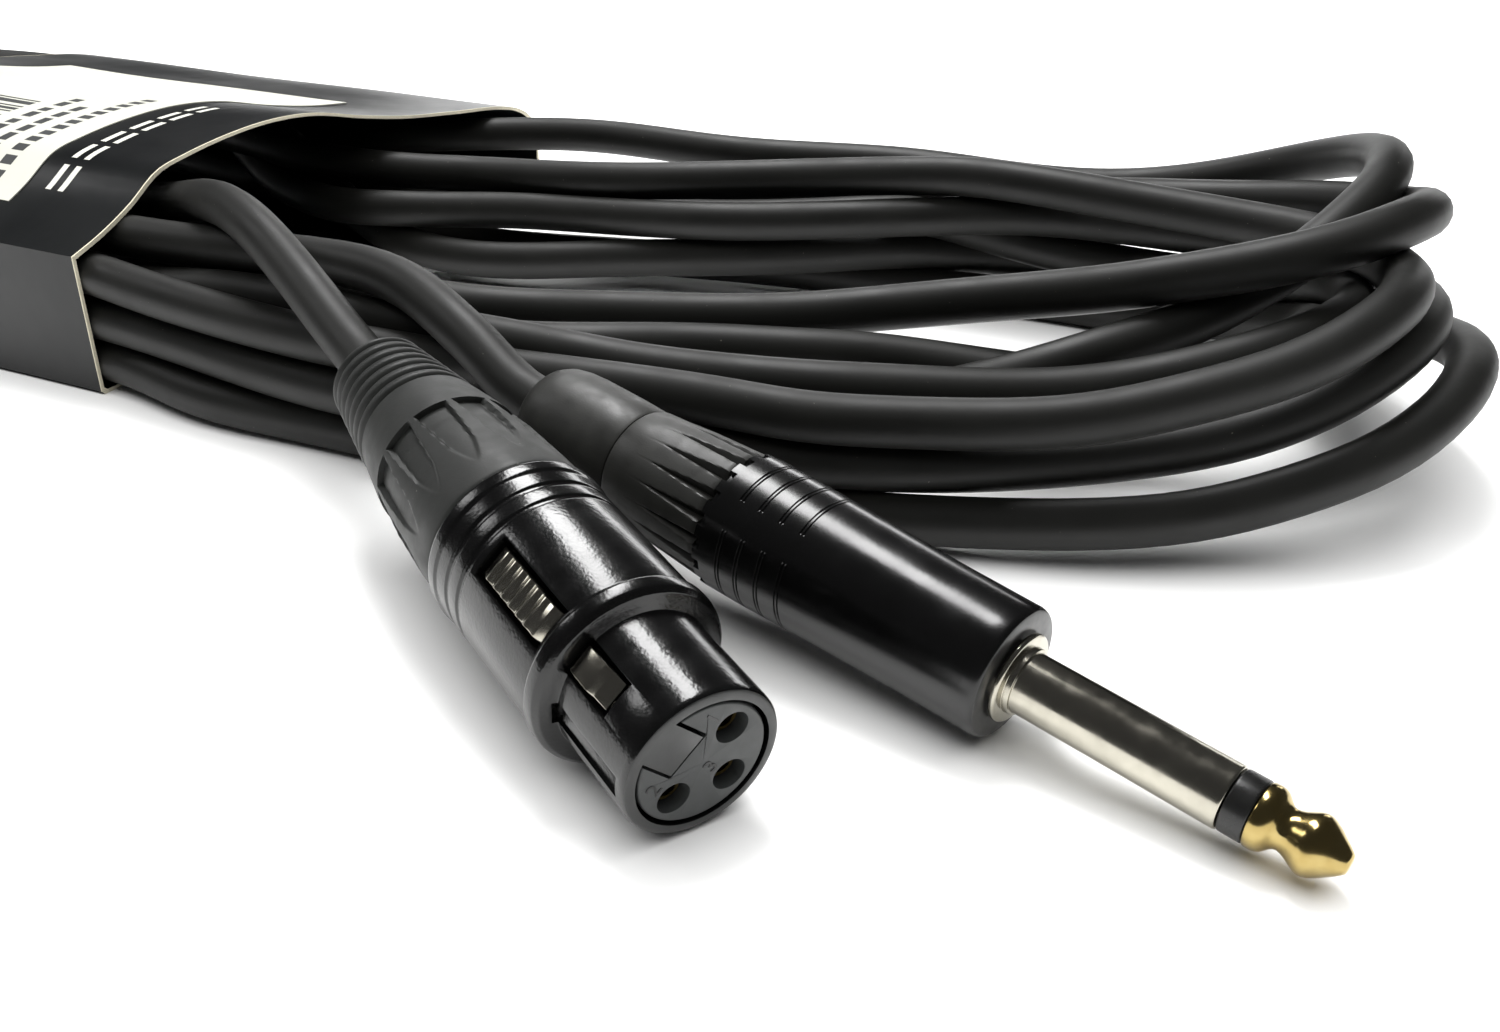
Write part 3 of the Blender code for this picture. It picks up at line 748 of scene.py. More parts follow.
    def hold(self, line: np.ndarray) -> np.ndarray:
        """Say how firmly each sample keeps its place.

        Args:
            line: the samples.

        Returns:
            One for a free sample, less for the visible tails, nought inside the connectors.
        """
        along = np.arange(len(line)) * self.spacing
        free = np.ones(len(line))
        for ends in (along, along[::-1]):
            free = np.minimum(free, np.clip((ends - 40) / 60, 0, 1) * 0.25 + np.clip((ends - 150) / 60, 0, 0.75))
        return free

    def relax(self, start: np.ndarray) -> np.ndarray:
        """Push the strands clear of each other, the floor, the sleeve and the connectors.

        Args:
            start: the route's samples.

        Returns:
            The settled samples.
        """
        line, free = start.copy(), self.hold(start)
        gap, near = self.diameter + self.gap, int(4 * self.diameter / self.spacing)
        first, second = np.zeros(0, int), np.zeros(0, int)
        for step in range(self.rounds):
            if step % 10 == 0:
                flat = line.astype(np.float32)
                squares = (flat ** 2).sum(1)
                away = squares[:, None] + squares[None, :] - 2 * flat @ flat.T
                first, second = np.nonzero(away < (2 * gap) ** 2)
                apart = second - first > near
                first, second = first[apart], second[apart]
            shift = line - start
            shift[1:-1] = 0.3 * shift[1:-1] + 0.35 * (shift[:-2] + shift[2:])
            line = self.unkink(start + shift * 0.998, free)
            between = line[first] - line[second]
            distance = np.linalg.norm(between, axis=1)
            push = np.clip(gap - distance, 0, None) / np.maximum(distance, 1e-6)
            share = free[first] + free[second] + 1e-6
            moves = between * push[:, None]
            count = np.bincount(first, push > 0, len(line)) + np.bincount(second, push > 0, len(line))
            total = np.zeros_like(line)
            np.add.at(total, first, moves * (free[first] / share)[:, None])
            np.add.at(total, second, -moves * (free[second] / share)[:, None])
            line += total / np.maximum(1, 0.6 * count)[:, None]
            line = self.keep_out(line, free)
        return line

    def unkink(self, line: np.ndarray, free: np.ndarray) -> np.ndarray:
        """Open any bend that is tighter than the cord allows.

        Args:
            line: the samples.
            free: how freely each may move.

        Returns:
            The eased samples.
        """
        step = 3
        sag = line[step:-step] - (line[:-2 * step] + line[2 * step:]) / 2
        depth = np.linalg.norm(sag, axis=1)
        most = (step * self.spacing) ** 2 / (2 * self.tightest)
        move = sag * (np.clip(depth - most, 0, None) / np.maximum(depth, 1e-6) * 0.45)[:, None]
        line[step:-step] -= move * free[step:-step, None]
        line[:-2 * step] += 0.5 * move * free[:-2 * step, None]
        line[2 * step:] += 0.5 * move * free[2 * step:, None]
        return line

    def keep_out(self, line: np.ndarray, free: np.ndarray) -> np.ndarray:
        """Keep samples above the floor, inside the sleeve and outside the connectors.

        Args:
            line: the samples.
            free: how freely each may move.

        Returns:
            The corrected samples.
        """
        radius = self.diameter / 2
        line[:, 2] = np.maximum(line[:, 2], radius + 0.02)
        inside = (line[:, 0] > self.sleeve_low_x) & (line[:, 0] < self.sleeve_high_x)
        sleeve = self.sleeve
        half = sleeve.half_width - sleeve.thickness - radius - self.gap
        across = np.clip(line[:, 1] - sleeve.centre_y, -half, half)
        roof = np.array([sleeve.arch(a / sleeve.half_width) for a in across]) - radius - self.roof_gap
        line[inside, 1] = sleeve.centre_y + across[inside]
        line[inside, 2] = np.clip(line[inside, 2], radius + sleeve.thickness + self.floor_gap, roof[inside])
        for place in (XLR, JACK):
            axis = np.array(Vector(place.heading).normalized())
            out = line - np.array(place.face)
            along = out @ axis
            out -= along[:, None] * axis
            reach = np.linalg.norm(out, axis=1)
            need = np.interp(-along, [-h for _, h in place.hull], [r for r, _ in place.hull], 0, 0) + radius + self.gap
            need[(along < place.hull[-1][1]) | (along > place.hull[0][1]) | (free < 0.3)] = 0
            line += out / np.maximum(reach, 1e-6)[:, None] * np.clip(need - reach, 0, None)[:, None]
        return line

    def build(self) -> Piece:
        """Build the cord as one round tube.

        Returns:
            The curve object.
        """
        start = self.route()
        line = self.relax(start)
        for _ in range(2):
            line[2:-2] = 0.25 * line[1:-3] + 0.5 * line[2:-2] + 0.25 * line[3:-1]
        measured = float(np.linalg.norm(np.diff(line, axis=0), axis=1).sum()) * MM
        LOG.info("cord measures %.3f m", measured)
        curve = bpy.data.curves.new("cord", "CURVE")
        curve.dimensions = "3D"
        curve.bevel_depth = self.diameter / 2 * MM
        curve.bevel_resolution = 7
        curve.use_fill_caps = True
        curve.splines.new("POLY")
        curve.splines[0].points.add(len(line) - 1)
        for slot, point in zip(curve.splines[0].points, line):
            slot.co = (*(point * MM), 1.0)
        curve.splines[0].use_smooth = True
        curve.materials.append(PVC_JACKET.build())
        cord = bpy.data.objects.new("cord", curve)
        bpy.context.scene.collection.objects.link(cord)
        return cord

    def declare(self, cord: Piece) -> None:
        """Mount the cord and hide the CAD nodes that it stands for.

        Args:
            cord: the curve object.
        """
        mount(cord, Body.CABLE, "cable_pvc", "cable_hank", "xlr_tail", "jack_tail_cord")


# ---- card sleeve ----
@dataclass
class CardSleeve:
    """Band of board folded round the hank's middle, with a paper label and plain printing."""

    half_width: float = 58.5
    front_wall: float = 21.0
    back_wall: float = 12.8
    thickness: float = 0.5
    centre_x: float = -47.4
    length: float = 114.0
    centre_y: float = 27.4
    arch_steps: int = 84
    lengthways_steps: int = 38
    frayed: float = 0.22
    heights: Profile = field(default_factory=lambda: [
        (-1.0, 21.0), (-0.9, 23.0), (-0.8, 25.6), (-0.7, 28.9), (-0.6, 30.0), (-0.4, 30.9), (-0.25, 30.7),
        (-0.1, 29.5), (0.1, 26.4), (0.3, 23.8), (0.55, 21.6), (0.8, 19.5), (0.9, 17.9), (0.96, 15.8), (1.0, 12.8)])

    def arch(self, place: float) -> float:
        """Read the height of the band's outer face.

        Args:
            place: from -1, the front fold, to 1, the back one.

        Returns:
            Millimetres above the floor, on a smooth curve through the band's heights.
        """
        points = self.heights
        place = max(-1.0, min(1.0, place))
        slopes = [(d[1] - c[1]) / (d[0] - c[0]) for c, d in zip(points, points[1:])]
        tangents = [slopes[0], *[(low + high) / 2 for low, high in zip(slopes, slopes[1:])], slopes[-1]]
        index = max(i for i in range(len(slopes)) if points[i][0] <= place or i == 0)
        (start, low), (end, high) = points[index], points[index + 1]
        span = end - start
        t = (place - start) / span
        return (low * (2 * t ** 3 - 3 * t ** 2 + 1) + high * (3 * t ** 2 - 2 * t ** 3)
                + span * (tangents[index] * (t ** 3 - 2 * t ** 2 + t) + tangents[index + 1] * (t ** 3 - t ** 2)))

    def ripple(self, x: float, place: float) -> float:
        """Return how far the board stands off its even shape, in millimetres."""
        calm = math.cos(math.pi * place / 2) ** 0.7 if abs(place) < 1 else 0.0
        return calm * (0.28 * math.sin(x / 17 + 2 * place) + 0.16 * math.sin(x / 9 - 3.1 * place + 1))

    def section(self, x: float, inset: float) -> list[Point]:
        """Trace the band's closed section.

        Args:
            x: where along the hank, in millimetres.
            inset: how far inside the outer face.

        Returns:
            Points from the bottom front fold up, over the arch, down the back and along the bottom.
        """
        half = self.half_width - inset
        points = [(x, self.centre_y - half, inset + 0.5)]
        points += [(x, self.centre_y - half, inset + (self.front_wall - 2 * inset) * t) for t in (0.2, 0.4, 0.6, 0.8)]
        for step in range(self.arch_steps + 1):
            t = step / self.arch_steps
            place = -math.cos(math.pi * (t + 0.35 * math.sin(2 * math.pi * t) / (2 * math.pi) * 0.6))
            place = max(-1.0, min(1.0, place))
            points.append((x, self.centre_y + place * half, self.arch(place) - inset + self.ripple(x, place)))
        points += [(x, self.centre_y + half, inset + (self.back_wall - 2 * inset) * t) for t in (0.8, 0.6, 0.4, 0.2)]
        points += [(x, self.centre_y + half, inset + 0.5)]
        points += [(x, self.centre_y + half * t, inset) for t in (0.99, 0.5, 0.0, -0.5, -0.99)]
        return points

    def build_band(self) -> Piece:
        """Build the folded board.

        Returns:
            The band, with its cut edges in their own finish.
        """
        half = self.length / 2
        stations = [self.length * (i / self.lengthways_steps - 0.5) for i in range(1, self.lengthways_steps)]
        xs = [self.centre_x + x for x in (-half, self.frayed - half, *stations, half - self.frayed, half)]
        outer = [self.section(x, 0.0) for x in xs]
        inner = [self.section(x, self.thickness) for x in xs]
        count = len(outer[0])
        vertices = [p for ring in outer for p in ring] + [p for ring in inner for p in ring]
        offset = len(xs) * count
        faces, edge_faces = [], []
        for i in range(len(xs) - 1):
            for j in range(count):
                a, b = i * count + j, i * count + (j + 1) % count
                faces.append((a, b, b + count, a + count))
                faces.append((offset + a, offset + a + count, offset + b + count, offset + b))
        for ring in (0, len(xs) - 1):
            for j in range(count):
                a, b = ring * count + j, ring * count + (j + 1) % count
                edge_faces.append((a, b, offset + b, offset + a))
        band = place_mesh("sleeve_band", vertices, faces + edge_faces, CARD_VARNISH.build())
        band.data.materials.append(CARD_EDGE.build())
        for number, polygon in enumerate(band.data.polygons):
            fringe = abs(polygon.center.x / MM - self.centre_x) > half - self.frayed
            polygon.material_index = 1 if number >= len(faces) or fringe else 0
        return smooth(band, 40)

    def strip(self, name: str, patches: list[tuple[float, float, float, float]], lift: float, thickness: float,
              finish: Material) -> Piece:
        """Lay thin patches on the arch.

        Args:
            name: the piece's name.
            patches: (first x, last x, first place, last place) of each patch.
            lift: how far the underside stands off the board, in millimetres.
            thickness: the patches' thickness.
            finish: the material.

        Returns:
            One mesh with every patch.
        """
        vertices, faces = [], []
        for low_x, high_x, low, high in patches:
            columns = max(1, round(abs(high_x - low_x) / 3))
            rows = max(2, round(abs(high - low) * 60))
            base = len(vertices)
            for level in (lift, lift + thickness):
                for i in range(columns + 1):
                    x = low_x + (high_x - low_x) * i / columns
                    for j in range(rows + 1):
                        place = low + (high - low) * j / rows
                        height = self.arch(place) + self.ripple(x, place)
                        slope = (self.arch(min(place + 0.004, 0.999)) - self.arch(max(place - 0.004, -0.999))) / (
                            0.008 * self.half_width)
                        normal = Vector((0, -slope, 1)).normalized()
                        vertices.append((x, self.centre_y + place * self.half_width + normal.y * level,
                                         height + normal.z * level))
            size = (columns + 1) * (rows + 1)
            for i in range(columns):
                for j in range(rows):
                    a = base + i * (rows + 1) + j
                    faces.append((a, a + 1, a + rows + 2, a + rows + 1))
                    faces.append((a + size, a + size + rows + 1, a + size + rows + 2, a + size + 1))
            rim = [base + j for j in range(rows + 1)] + [base + i * (rows + 1) + rows for i in range(1, columns + 1)]
            rim += [base + columns * (rows + 1) + j for j in range(rows - 1, -1, -1)]
            rim += [base + i * (rows + 1) for i in range(columns - 1, 0, -1)]
            faces += [(a, b, b + size, a + size) for a, b in zip(rim, rim[1:] + rim[:1])]
        return smooth(place_mesh(name, vertices, faces, finish), 50)

    def build(self) -> list[Piece]:
        """Build the band, its label and the plain printing on both.

        Returns:
            The pieces.
        """
        band = mount(self.build_band(), Body.SLEEVE, "black_card", "card_sleeve")
        # The label stops short of the front fold and of the mouth, and its top edge lies past the arch's crown.
        label = self.strip("sleeve_label", [(-83.4, -11.4, -0.86, 0.45)], 0.04, 0.16, LABEL_PAPER.build())
        mount(label, Body.SLEEVE, "label_paper", "card_label")
        margin, unit = -0.80, 0.0085
        bars, place = [], margin
        widths = (1, 2, 1, 3, 1, 1, 2, 1, 2, 3, 1, 2, 1, 1, 3, 1, 2, 2, 1, 3, 1, 1, 2, 1, 1, 2, 3, 1, 1, 2)
        for index, width in enumerate(widths):
            if index % 2 == 0:
                bars.append((-52.0, -33.0, place, place + width * unit))
            place += width * unit
        lines = [(-29.5, -27.4, margin + 0.055 * i, margin + 0.055 * i + 0.03 + 0.012 * (i % 2)) for i in range(9)]
        for low, high, start, pitch, width, count in ((-24.5, -22.6, margin, 0.06, 0.045, 7),
                                                      (-19.5, -17.0, margin, 0.045, 0.028, 13),
                                                      (-75.0, -56.0, -0.79, 0.05, 0.014, 6)):
            lines += [(low, high, start + pitch * i, start + pitch * i + width) for i in range(count)]
        printing = self.strip("label_printing", bars + lines, 0.2, 0.015, INK_DARK.build())
        mount(printing, Body.SLEEVE, "label_paper")
        dashes = [(low, high, start, start + 0.075) for start in (-0.80, -0.70, -0.60, -0.50, -0.40, -0.30)
                  for low, high in ((-7.4, -6.3), (-4.9, -3.8))]
        pale = self.strip("sleeve_printing", dashes, 0.02, 0.02, INK_PALE.build())
        mount(pale, Body.SLEEVE, "black_card")
        return [band, label, printing, pale]


# ---- female connector ----
@dataclass
class FemaleConnector:
    """Three-pole cable socket: lacquered shell, insert, latch and ringed boot."""

    place: ConnectorPlace
    steps: int = 144
    hole_circle: float = 4.05
    hole_radius: float = 1.68
    hole_angles: tuple[float, ...] = (-90.0, 90.0, 180.0)
    latch_pivot: Point = (5.2, 0.0, -30.6)
    flutes: int = 12
    rings: int = 7

    def shell(self) -> Piece:
        """Build the casting: slim nose, collar, barrel, latch windows, key slot and the tongue behind the latch.

        Returns:
            The shell.
        """
        home = self.place.home()
        outer = rounded([
            (6.85, 0.0), (7.5, 0.0), (7.8, -0.12), (7.96, -0.45), (8.0, -0.9), (8.0, -11.9), (8.7, -12.1),
            (9.6, -12.4), (10.1, -12.9), (10.2, -13.4), (10.2, -14.2), (10.0, -14.6), (9.75, -14.8), (9.85, -15.2),
            (9.9, -28.4), (9.7, -28.65), (9.7, -29.05), (9.9, -29.3), (9.9, -30.9), (9.7, -31.15), (9.7, -31.55),
            (9.9, -31.8), (9.9, -33.6), (10.1, -34.0), (10.1, -35.2), (9.9, -35.6), (8.2, -35.6), (8.2, -17.5),
            (6.95, -17.0), (6.95, -1.4), (6.85, -1.2)], 0.12)
        shell = turned("xlr_casting", outer, ZINC_LACQUER.build(), home, self.steps)
        tool = ZINC_SATIN.build()
        tongue = box("tongue", (4.8, 0.0, -0.8), (4.6, 4.4, 1.6), tool, home)
        carve(shell, tongue, Cut.JOIN)
        carve(shell, box("tab_window", (8.5, 0.0, -21.2), (4.0, 4.6, 12.4), tool, home))
        carve(shell, box("nose_window", (8.6, 0.0, -8.8), (4.0, 3.9, 6.8), tool, home))
        carve(shell, box("key_slot", (8.0, 0.0, -6.9), (0.9, 2.4, 11.0), tool, home, 45.0))
        soften(shell, 0.12, 2, 38)
        if len(shell.data.materials) < 2:
            shell.data.materials.append(tool)
        for polygon in shell.data.polygons:
            flat = polygon.normal.z > 0.7 and polygon.center.z > -0.6 * MM
            polygon.material_index = 1 if flat else 0
        return smooth(shell, 30)

    def insert(self) -> Piece:
        """Build the contact insert, notched for the tongue and the latch.

        Returns:
            The insert.
        """
        home = self.place.home()
        finish = INSERT_PBT.build()
        profile = rounded([(0.0, -0.12), (6.35, -0.12), (6.5, -0.3), (6.55, -1.6), (6.55, -17.8), (7.9, -17.8),
                           (7.9, -20.0), (0.0, -20.0)], 0.1)
        insert = turned("xlr_insert_block", profile, finish, home, self.steps)
        for side in (-1, 1):
            carve(insert, box("cheek", (5.0, side * 4.3, -25.6), (2.2, 1.6, 12.8), finish, home), Cut.JOIN)
        carve(insert, box("trench", (5.4, 0.0, -11.6), (6.5, 5.1, 24.0), finish, home))
        for angle in self.hole_angles:
            turn = math.radians(angle)
            centre = Matrix.Translation(Vector((math.cos(turn), math.sin(turn), 0)) * self.hole_circle * MM)
            drill = turned("drill", [(0.0, 1.0), (self.hole_radius, 1.0), (self.hole_radius, -24.0), (0.0, -24.0)],
                           finish, home @ centre, 40)
            carve(insert, drill)
        soften(insert, 0.1, 2, 40)
        return smooth(insert, 32)

    def digits(self) -> Piece:
        """Build the small raised contact numbers.

        Returns:
            The numbers as one mesh.
        """
        home = self.place.home()
        vertices, faces = [], []
        for number, angle in enumerate(self.hole_angles, 1):
            text = bpy.data.curves.new(f"digit_{number}", "FONT")
            text.body = str(number)
            text.size = 2.3 * MM
            text.extrude = 0.04 * MM
            text.align_x = text.align_y = "CENTER"
            carrier = bpy.data.objects.new(text.name, text)
            bpy.context.scene.collection.objects.link(carrier)
            bpy.context.view_layer.update()
            mesh = bpy.data.meshes.new_from_object(carrier.evaluated_get(bpy.context.evaluated_depsgraph_get()))
            turn = math.radians(angle)
            spot = Vector((math.cos(turn) * self.hole_circle, math.sin(turn) * self.hole_circle, -0.11))
            spot += Vector((2.85, 0.0, 0.0))
            spin = Matrix.Rotation(math.radians(-90), 3, "Z")
            base = len(vertices)
            vertices += [tuple(spin @ (v.co / MM) + spot) for v in mesh.vertices]
            faces += [tuple(base + v for v in p.vertices) for p in mesh.polygons]
            bpy.data.objects.remove(carrier)
        return place_mesh("xlr_contact_numbers", vertices, faces, ZINC_LACQUER.build(), home)

    def latch(self) -> Piece:
        """Build the latch: thin arm, ridged push tab and stepped nose block, on its knuckle.

        Returns:
            The latch.
        """
        home = self.place.home() @ Matrix.Translation(Vector(self.latch_pivot) * MM)
        finish = NICKEL.build()
        ridge_count, pitch, low, top = 6, 1.5, 4.1, 4.7
        ridges = [(0.3, 3.7), (low, 3.7)]
        for index in range(ridge_count):
            start = 4.6 + index * pitch
            ridges += [(top - 0.22, start), (top - 0.03, start + 0.35), (top, start + 0.6), (top - 0.03, start + 0.85),
                       (top - 0.22, start + 1.2)]
        ridges += [(low + 0.5, 14.2), (low - 0.4, 15.1), (0.3, 15.1)]
        latch = prism("xlr_latch_lever", ridges, -1.7, 1.7, finish, home)
        soften(latch, 0.14, 2, 20)
        arm = soften(box("arm", (0.0, 0.0, 13.3), (1.2, 3.3, 26.6), finish, home), 0.1, 2)
        carve(latch, arm, Cut.JOIN)
        nose = [(0.4, 18.6), (2.75, 18.6), (3.1, 19.1), (3.1, 22.0), (2.5, 22.7), (2.2, 24.4), (0.4, 24.6)]
        block = soften(prism("nose", nose, -1.45, 1.45, finish, home), 0.12, 2, 20)
        carve(latch, block, Cut.JOIN)
        knuckle = turned("knuckle", [(0.0, 2.5), (1.4, 2.5), (1.4, -2.5), (0.0, -2.5)], finish,
                         home @ Matrix.Rotation(math.pi / 2, 4, "X"), 32)
        carve(latch, knuckle, Cut.JOIN)
        return smooth(latch, 35)

    def boot(self) -> Piece:
        """Build the boot: leaf-shaped flutes on its body and ring grooves on its tapered neck.

        Returns:
            The boot.
        """
        body = rounded([(9.35, -35.85), (9.6, -36.2), (9.65, -37.0), (9.55, -40.0), (9.1, -48.0), (8.5, -53.0),
                        (7.75, -57.5), (7.5, -58.8)], 0.2)
        neck: Profile = []
        for index in range(self.rings):
            top, radius = -58.8 - 1.9 * index, 7.5 - 0.25 * index
            neck += [(radius, top), (radius - 0.5, top - 0.22), (radius - 0.55, top - 0.6), (radius - 0.12, top - 0.85),
                     (radius - 0.04, top - 1.2)]
        tail = [(5.6, -71.9), (5.35, -72.25), (5.0, -72.4)]
        profile = ring_interpolator([*body, *neck, *tail])
        rows = sorted({round(h, 3) for _, h in [*body, *neck, *tail]}
                      | {round(-38.5 - 0.3 * i, 3) for i in range(47)}
                      | {-51.5, -51.6, -51.7}, reverse=True)

        def reach(turn: np.ndarray, height: float) -> np.ndarray:
            """Return the outer radius round a ring, with the flutes cut in.

            Args:
                turn: angles round the ring.
                height: the ring's height.

            Returns:
                A radius for each angle.
            """
            start, end = -39.0, -51.6
            if not end - 0.05 <= height <= start:
                return np.full(len(turn), profile(height))
            along = (start - height) / (start - end)
            half = math.radians(7.0 + 5.6 * along) * min(1.0, 3.2 * along) ** 0.5
            depth = 0.68 * min(1.0, along * 1.25) ** 0.8
            if height < end + 0.02:
                depth = 0.0
            away = np.abs((turn + math.pi / self.flutes) % (math.tau / self.flutes) - math.pi / self.flutes)
            wall = np.clip((half - away) / math.radians(1.3), 0, 1)
            return profile(height) - depth * wall * wall * (3 - 2 * wall)

        bore = [(3.45, -72.4), (3.45, -47.0), (7.75, -47.0), (7.75, -35.85)]
        return smooth(skin("xlr_rubber_boot", rows, reach, bore, RUBBER.build(), self.place.home(), 360), 50)

    def build(self) -> list[Piece]:
        """Build and mount every piece.

        Returns:
            The pieces.
        """
        return [mount(self.shell(), Body.CABLE, "black_zinc", "xlr_shell"),
                mount(self.insert(), Body.CABLE, "insert_plastic", "xlr_insert"),
                mount(self.digits(), Body.CABLE, "insert_plastic"),
                mount(self.latch(), Body.LATCH, "nickel", "xlr_latch"),
                mount(self.boot(), Body.XLR_BACK, "boot_rubber", "xlr_boot")]


# ---- jack ----
@dataclass
class JackPlug:
    """Jack plug: grooved barrel, fluted nut, smooth tail, and the finger with its tip."""

    place: ConnectorPlace
    flutes: int = 18
    flute_shift: float = 4.0
    groove_heights: tuple[float, ...] = (-23.6, -26.3, -29.0, -31.5)
    groove_depth: float = 0.16

    def barrel(self) -> Piece:
        """Build the barrel, with its double-line grooves and notched rear rim.

        Returns:
            The barrel.
        """
        front = rounded([(6.45, 0.0), (6.85, -0.18), (7.0, -0.75), (7.1, -9.0), (7.35, -18.0), (7.75, -30.0),
                         (7.8, -34.3), (7.8, -35.0)], 0.25)
        profile = ring_interpolator(front)
        marks = {round(g + o, 3) for g in self.groove_heights
                 for o in (0.42, 0.34, 0.26, 0.14, 0.06, -0.06, -0.14, -0.26, -0.34, -0.42)}
        rows = sorted({round(h, 3) for _, h in front} | marks | {-2.0, -4.0, -6.0, -12.0, -15.0, -21.0, -34.1, -34.2},
                      reverse=True)

        def reach(turn: np.ndarray, height: float) -> np.ndarray:
            """Return the barrel's radius round a ring.

            Args:
                turn: angles round the ring.
                height: the ring's height.

            Returns:
                A radius for each angle.
            """
            radius = np.full(len(turn), profile(height))
            for groove in self.groove_heights:
                away = abs(height - groove)
                if 0.1 < away < 0.3:
                    third = (np.degrees(turn) - 50.0 + 60.0) % 120.0 - 60.0
                    radius = radius - self.groove_depth * np.clip((np.abs(third) - 12.0) / 1.5, 0, 1)
            if height < -34.15:
                notch = (np.degrees(turn) - self.flute_shift + 10.0) % 20.0 - 10.0
                radius = radius - 0.7 * (np.abs(notch) < 4.4)
            return radius

        bore = [(6.6, -35.0), (6.6, -2.0), (3.7, -2.0), (3.7, -0.05), (3.8, 0.0)]
        barrel = skin("jack_barrel", rows, reach, bore, BLACK_CHROME.build(), self.place.home(), 360)
        barrel.data.materials.append(TURNED_FACE.build())
        for polygon in barrel.data.polygons:
            if polygon.normal.z > 0.9 and polygon.center.z > -0.3 * MM:
                polygon.material_index = 1
        return smooth(barrel, 30)

    def nut(self) -> Piece:
        """Build the clamp nut, with long V flutes that open towards the barrel.

        Returns:
            The nut.
        """
        outline = [(6.3, -30.0), (6.3, -35.25), (7.35, -35.35), (7.5, -35.7), (7.4, -37.5), (7.1, -43.0), (6.75, -47.0),
                   (6.6, -49.6), (6.45, -50.0)]
        profile = ring_interpolator(outline)
        rows = sorted({h for _, h in outline} | {round(-35.4 - 0.6 * i, 2) for i in range(16)}, reverse=True)

        def reach(turn: np.ndarray, height: float) -> np.ndarray:
            """Return the nut's radius round a ring.

            Args:
                turn: angles round the ring.
                height: the ring's height.

            Returns:
                A radius for each angle.
            """
            open_share = np.clip((height + 44.4) / 9.0, 0, 1) if height < -35.3 else 0.0
            half = 0.6 + 4.4 * open_share
            away = np.abs((np.degrees(turn) - self.flute_shift + 10.0) % 20.0 - 10.0)
            return profile(height) - 1.05 * open_share ** 0.8 * np.clip(1 - away / half, 0, 1)

        bore = [(3.45, -50.0), (3.45, -37.0), (5.75, -36.4), (5.75, -30.0)]
        return smooth(skin("jack_clamp_nut", rows, reach, bore, NYLON.build(), self.place.home(), 360), 28)

    def tail(self) -> Piece:
        """Build the smooth tail sleeve with its round rear shoulder."""
        outline = [(6.1, -50.15), (6.35, -50.25), (6.5, -50.6), (6.6, -54.0), (6.62, -60.0), (6.5, -62.2), (6.2, -63.8),
                   (5.7, -64.9), (5.0, -65.65), (4.2, -66.0), (3.6, -66.0), (3.45, -65.8), (3.45, -50.15)]
        return smooth(turned("jack_tail_sleeve", outline, NYLON.build(), self.place.home(), 96), 35)

    def finger(self) -> list[Piece]:
        """Build the earth sleeve, insulator ring and tip.

        Returns:
            The three pieces.
        """
        home = self.place.home()
        sleeve = turned("jack_earth_sleeve", rounded([
            (2.2, 22.8), (3.0, 22.8), (3.12, 22.72), (3.175, 22.5), (3.175, 1.6), (3.5, 1.6), (3.5, 0.9), (4.5, 0.9),
            (4.7, 0.7), (4.7, 0.3), (3.35, 0.3), (3.35, -7.5), (5.8, -7.5), (5.8, -8.7), (2.2, -8.7)], 0.1),
            NICKEL.build(), home, 96)
        ring = turned("jack_insulator", rounded([(2.3, 25.25), (2.95, 25.25), (3.08, 25.1), (3.08, 23.05), (2.95, 22.9),
                                                 (2.3, 22.9)], 0.08), ACETAL.build(), home, 96)
        tip = turned("jack_gold_tip", [
            (0.0, 33.75), (0.55, 33.74), (0.9, 33.66), (1.12, 33.45), (1.5, 33.0), (1.95, 32.4), (2.4, 31.8),
            (2.75, 31.2), (2.92, 30.8), (2.97, 30.4), (2.9, 30.0), (2.66, 29.5), (2.32, 28.9), (2.1, 28.4),
            (2.02, 28.0), (2.08, 27.7), (2.3, 27.4), (2.62, 27.1), (2.9, 26.8), (3.08, 26.45), (3.15, 26.1),
            (3.15, 25.5), (3.05, 25.35), (0.0, 25.35)], GOLD.build(), home, 96)
        return [smooth(sleeve, 30), smooth(ring, 30), smooth(tip, 40)]

    def build(self) -> list[Piece]:
        """Build and mount every piece.

        Returns:
            The pieces.
        """
        sleeve, ring, tip = self.finger()
        return [mount(self.barrel(), Body.CABLE, "black_metal", "jack_shell"),
                mount(self.nut(), Body.JACK_BACK, "boot_plastic", "jack_nut"),
                mount(self.tail(), Body.JACK_BACK, "boot_plastic", "jack_tail"),
                mount(sleeve, Body.CABLE, "nickel", "jack_sleeve"),
                mount(ring, Body.CABLE, "boot_plastic", "jack_insulator_ring"),
                mount(tip, Body.CABLE, "contact_gold", "jack_tip")]


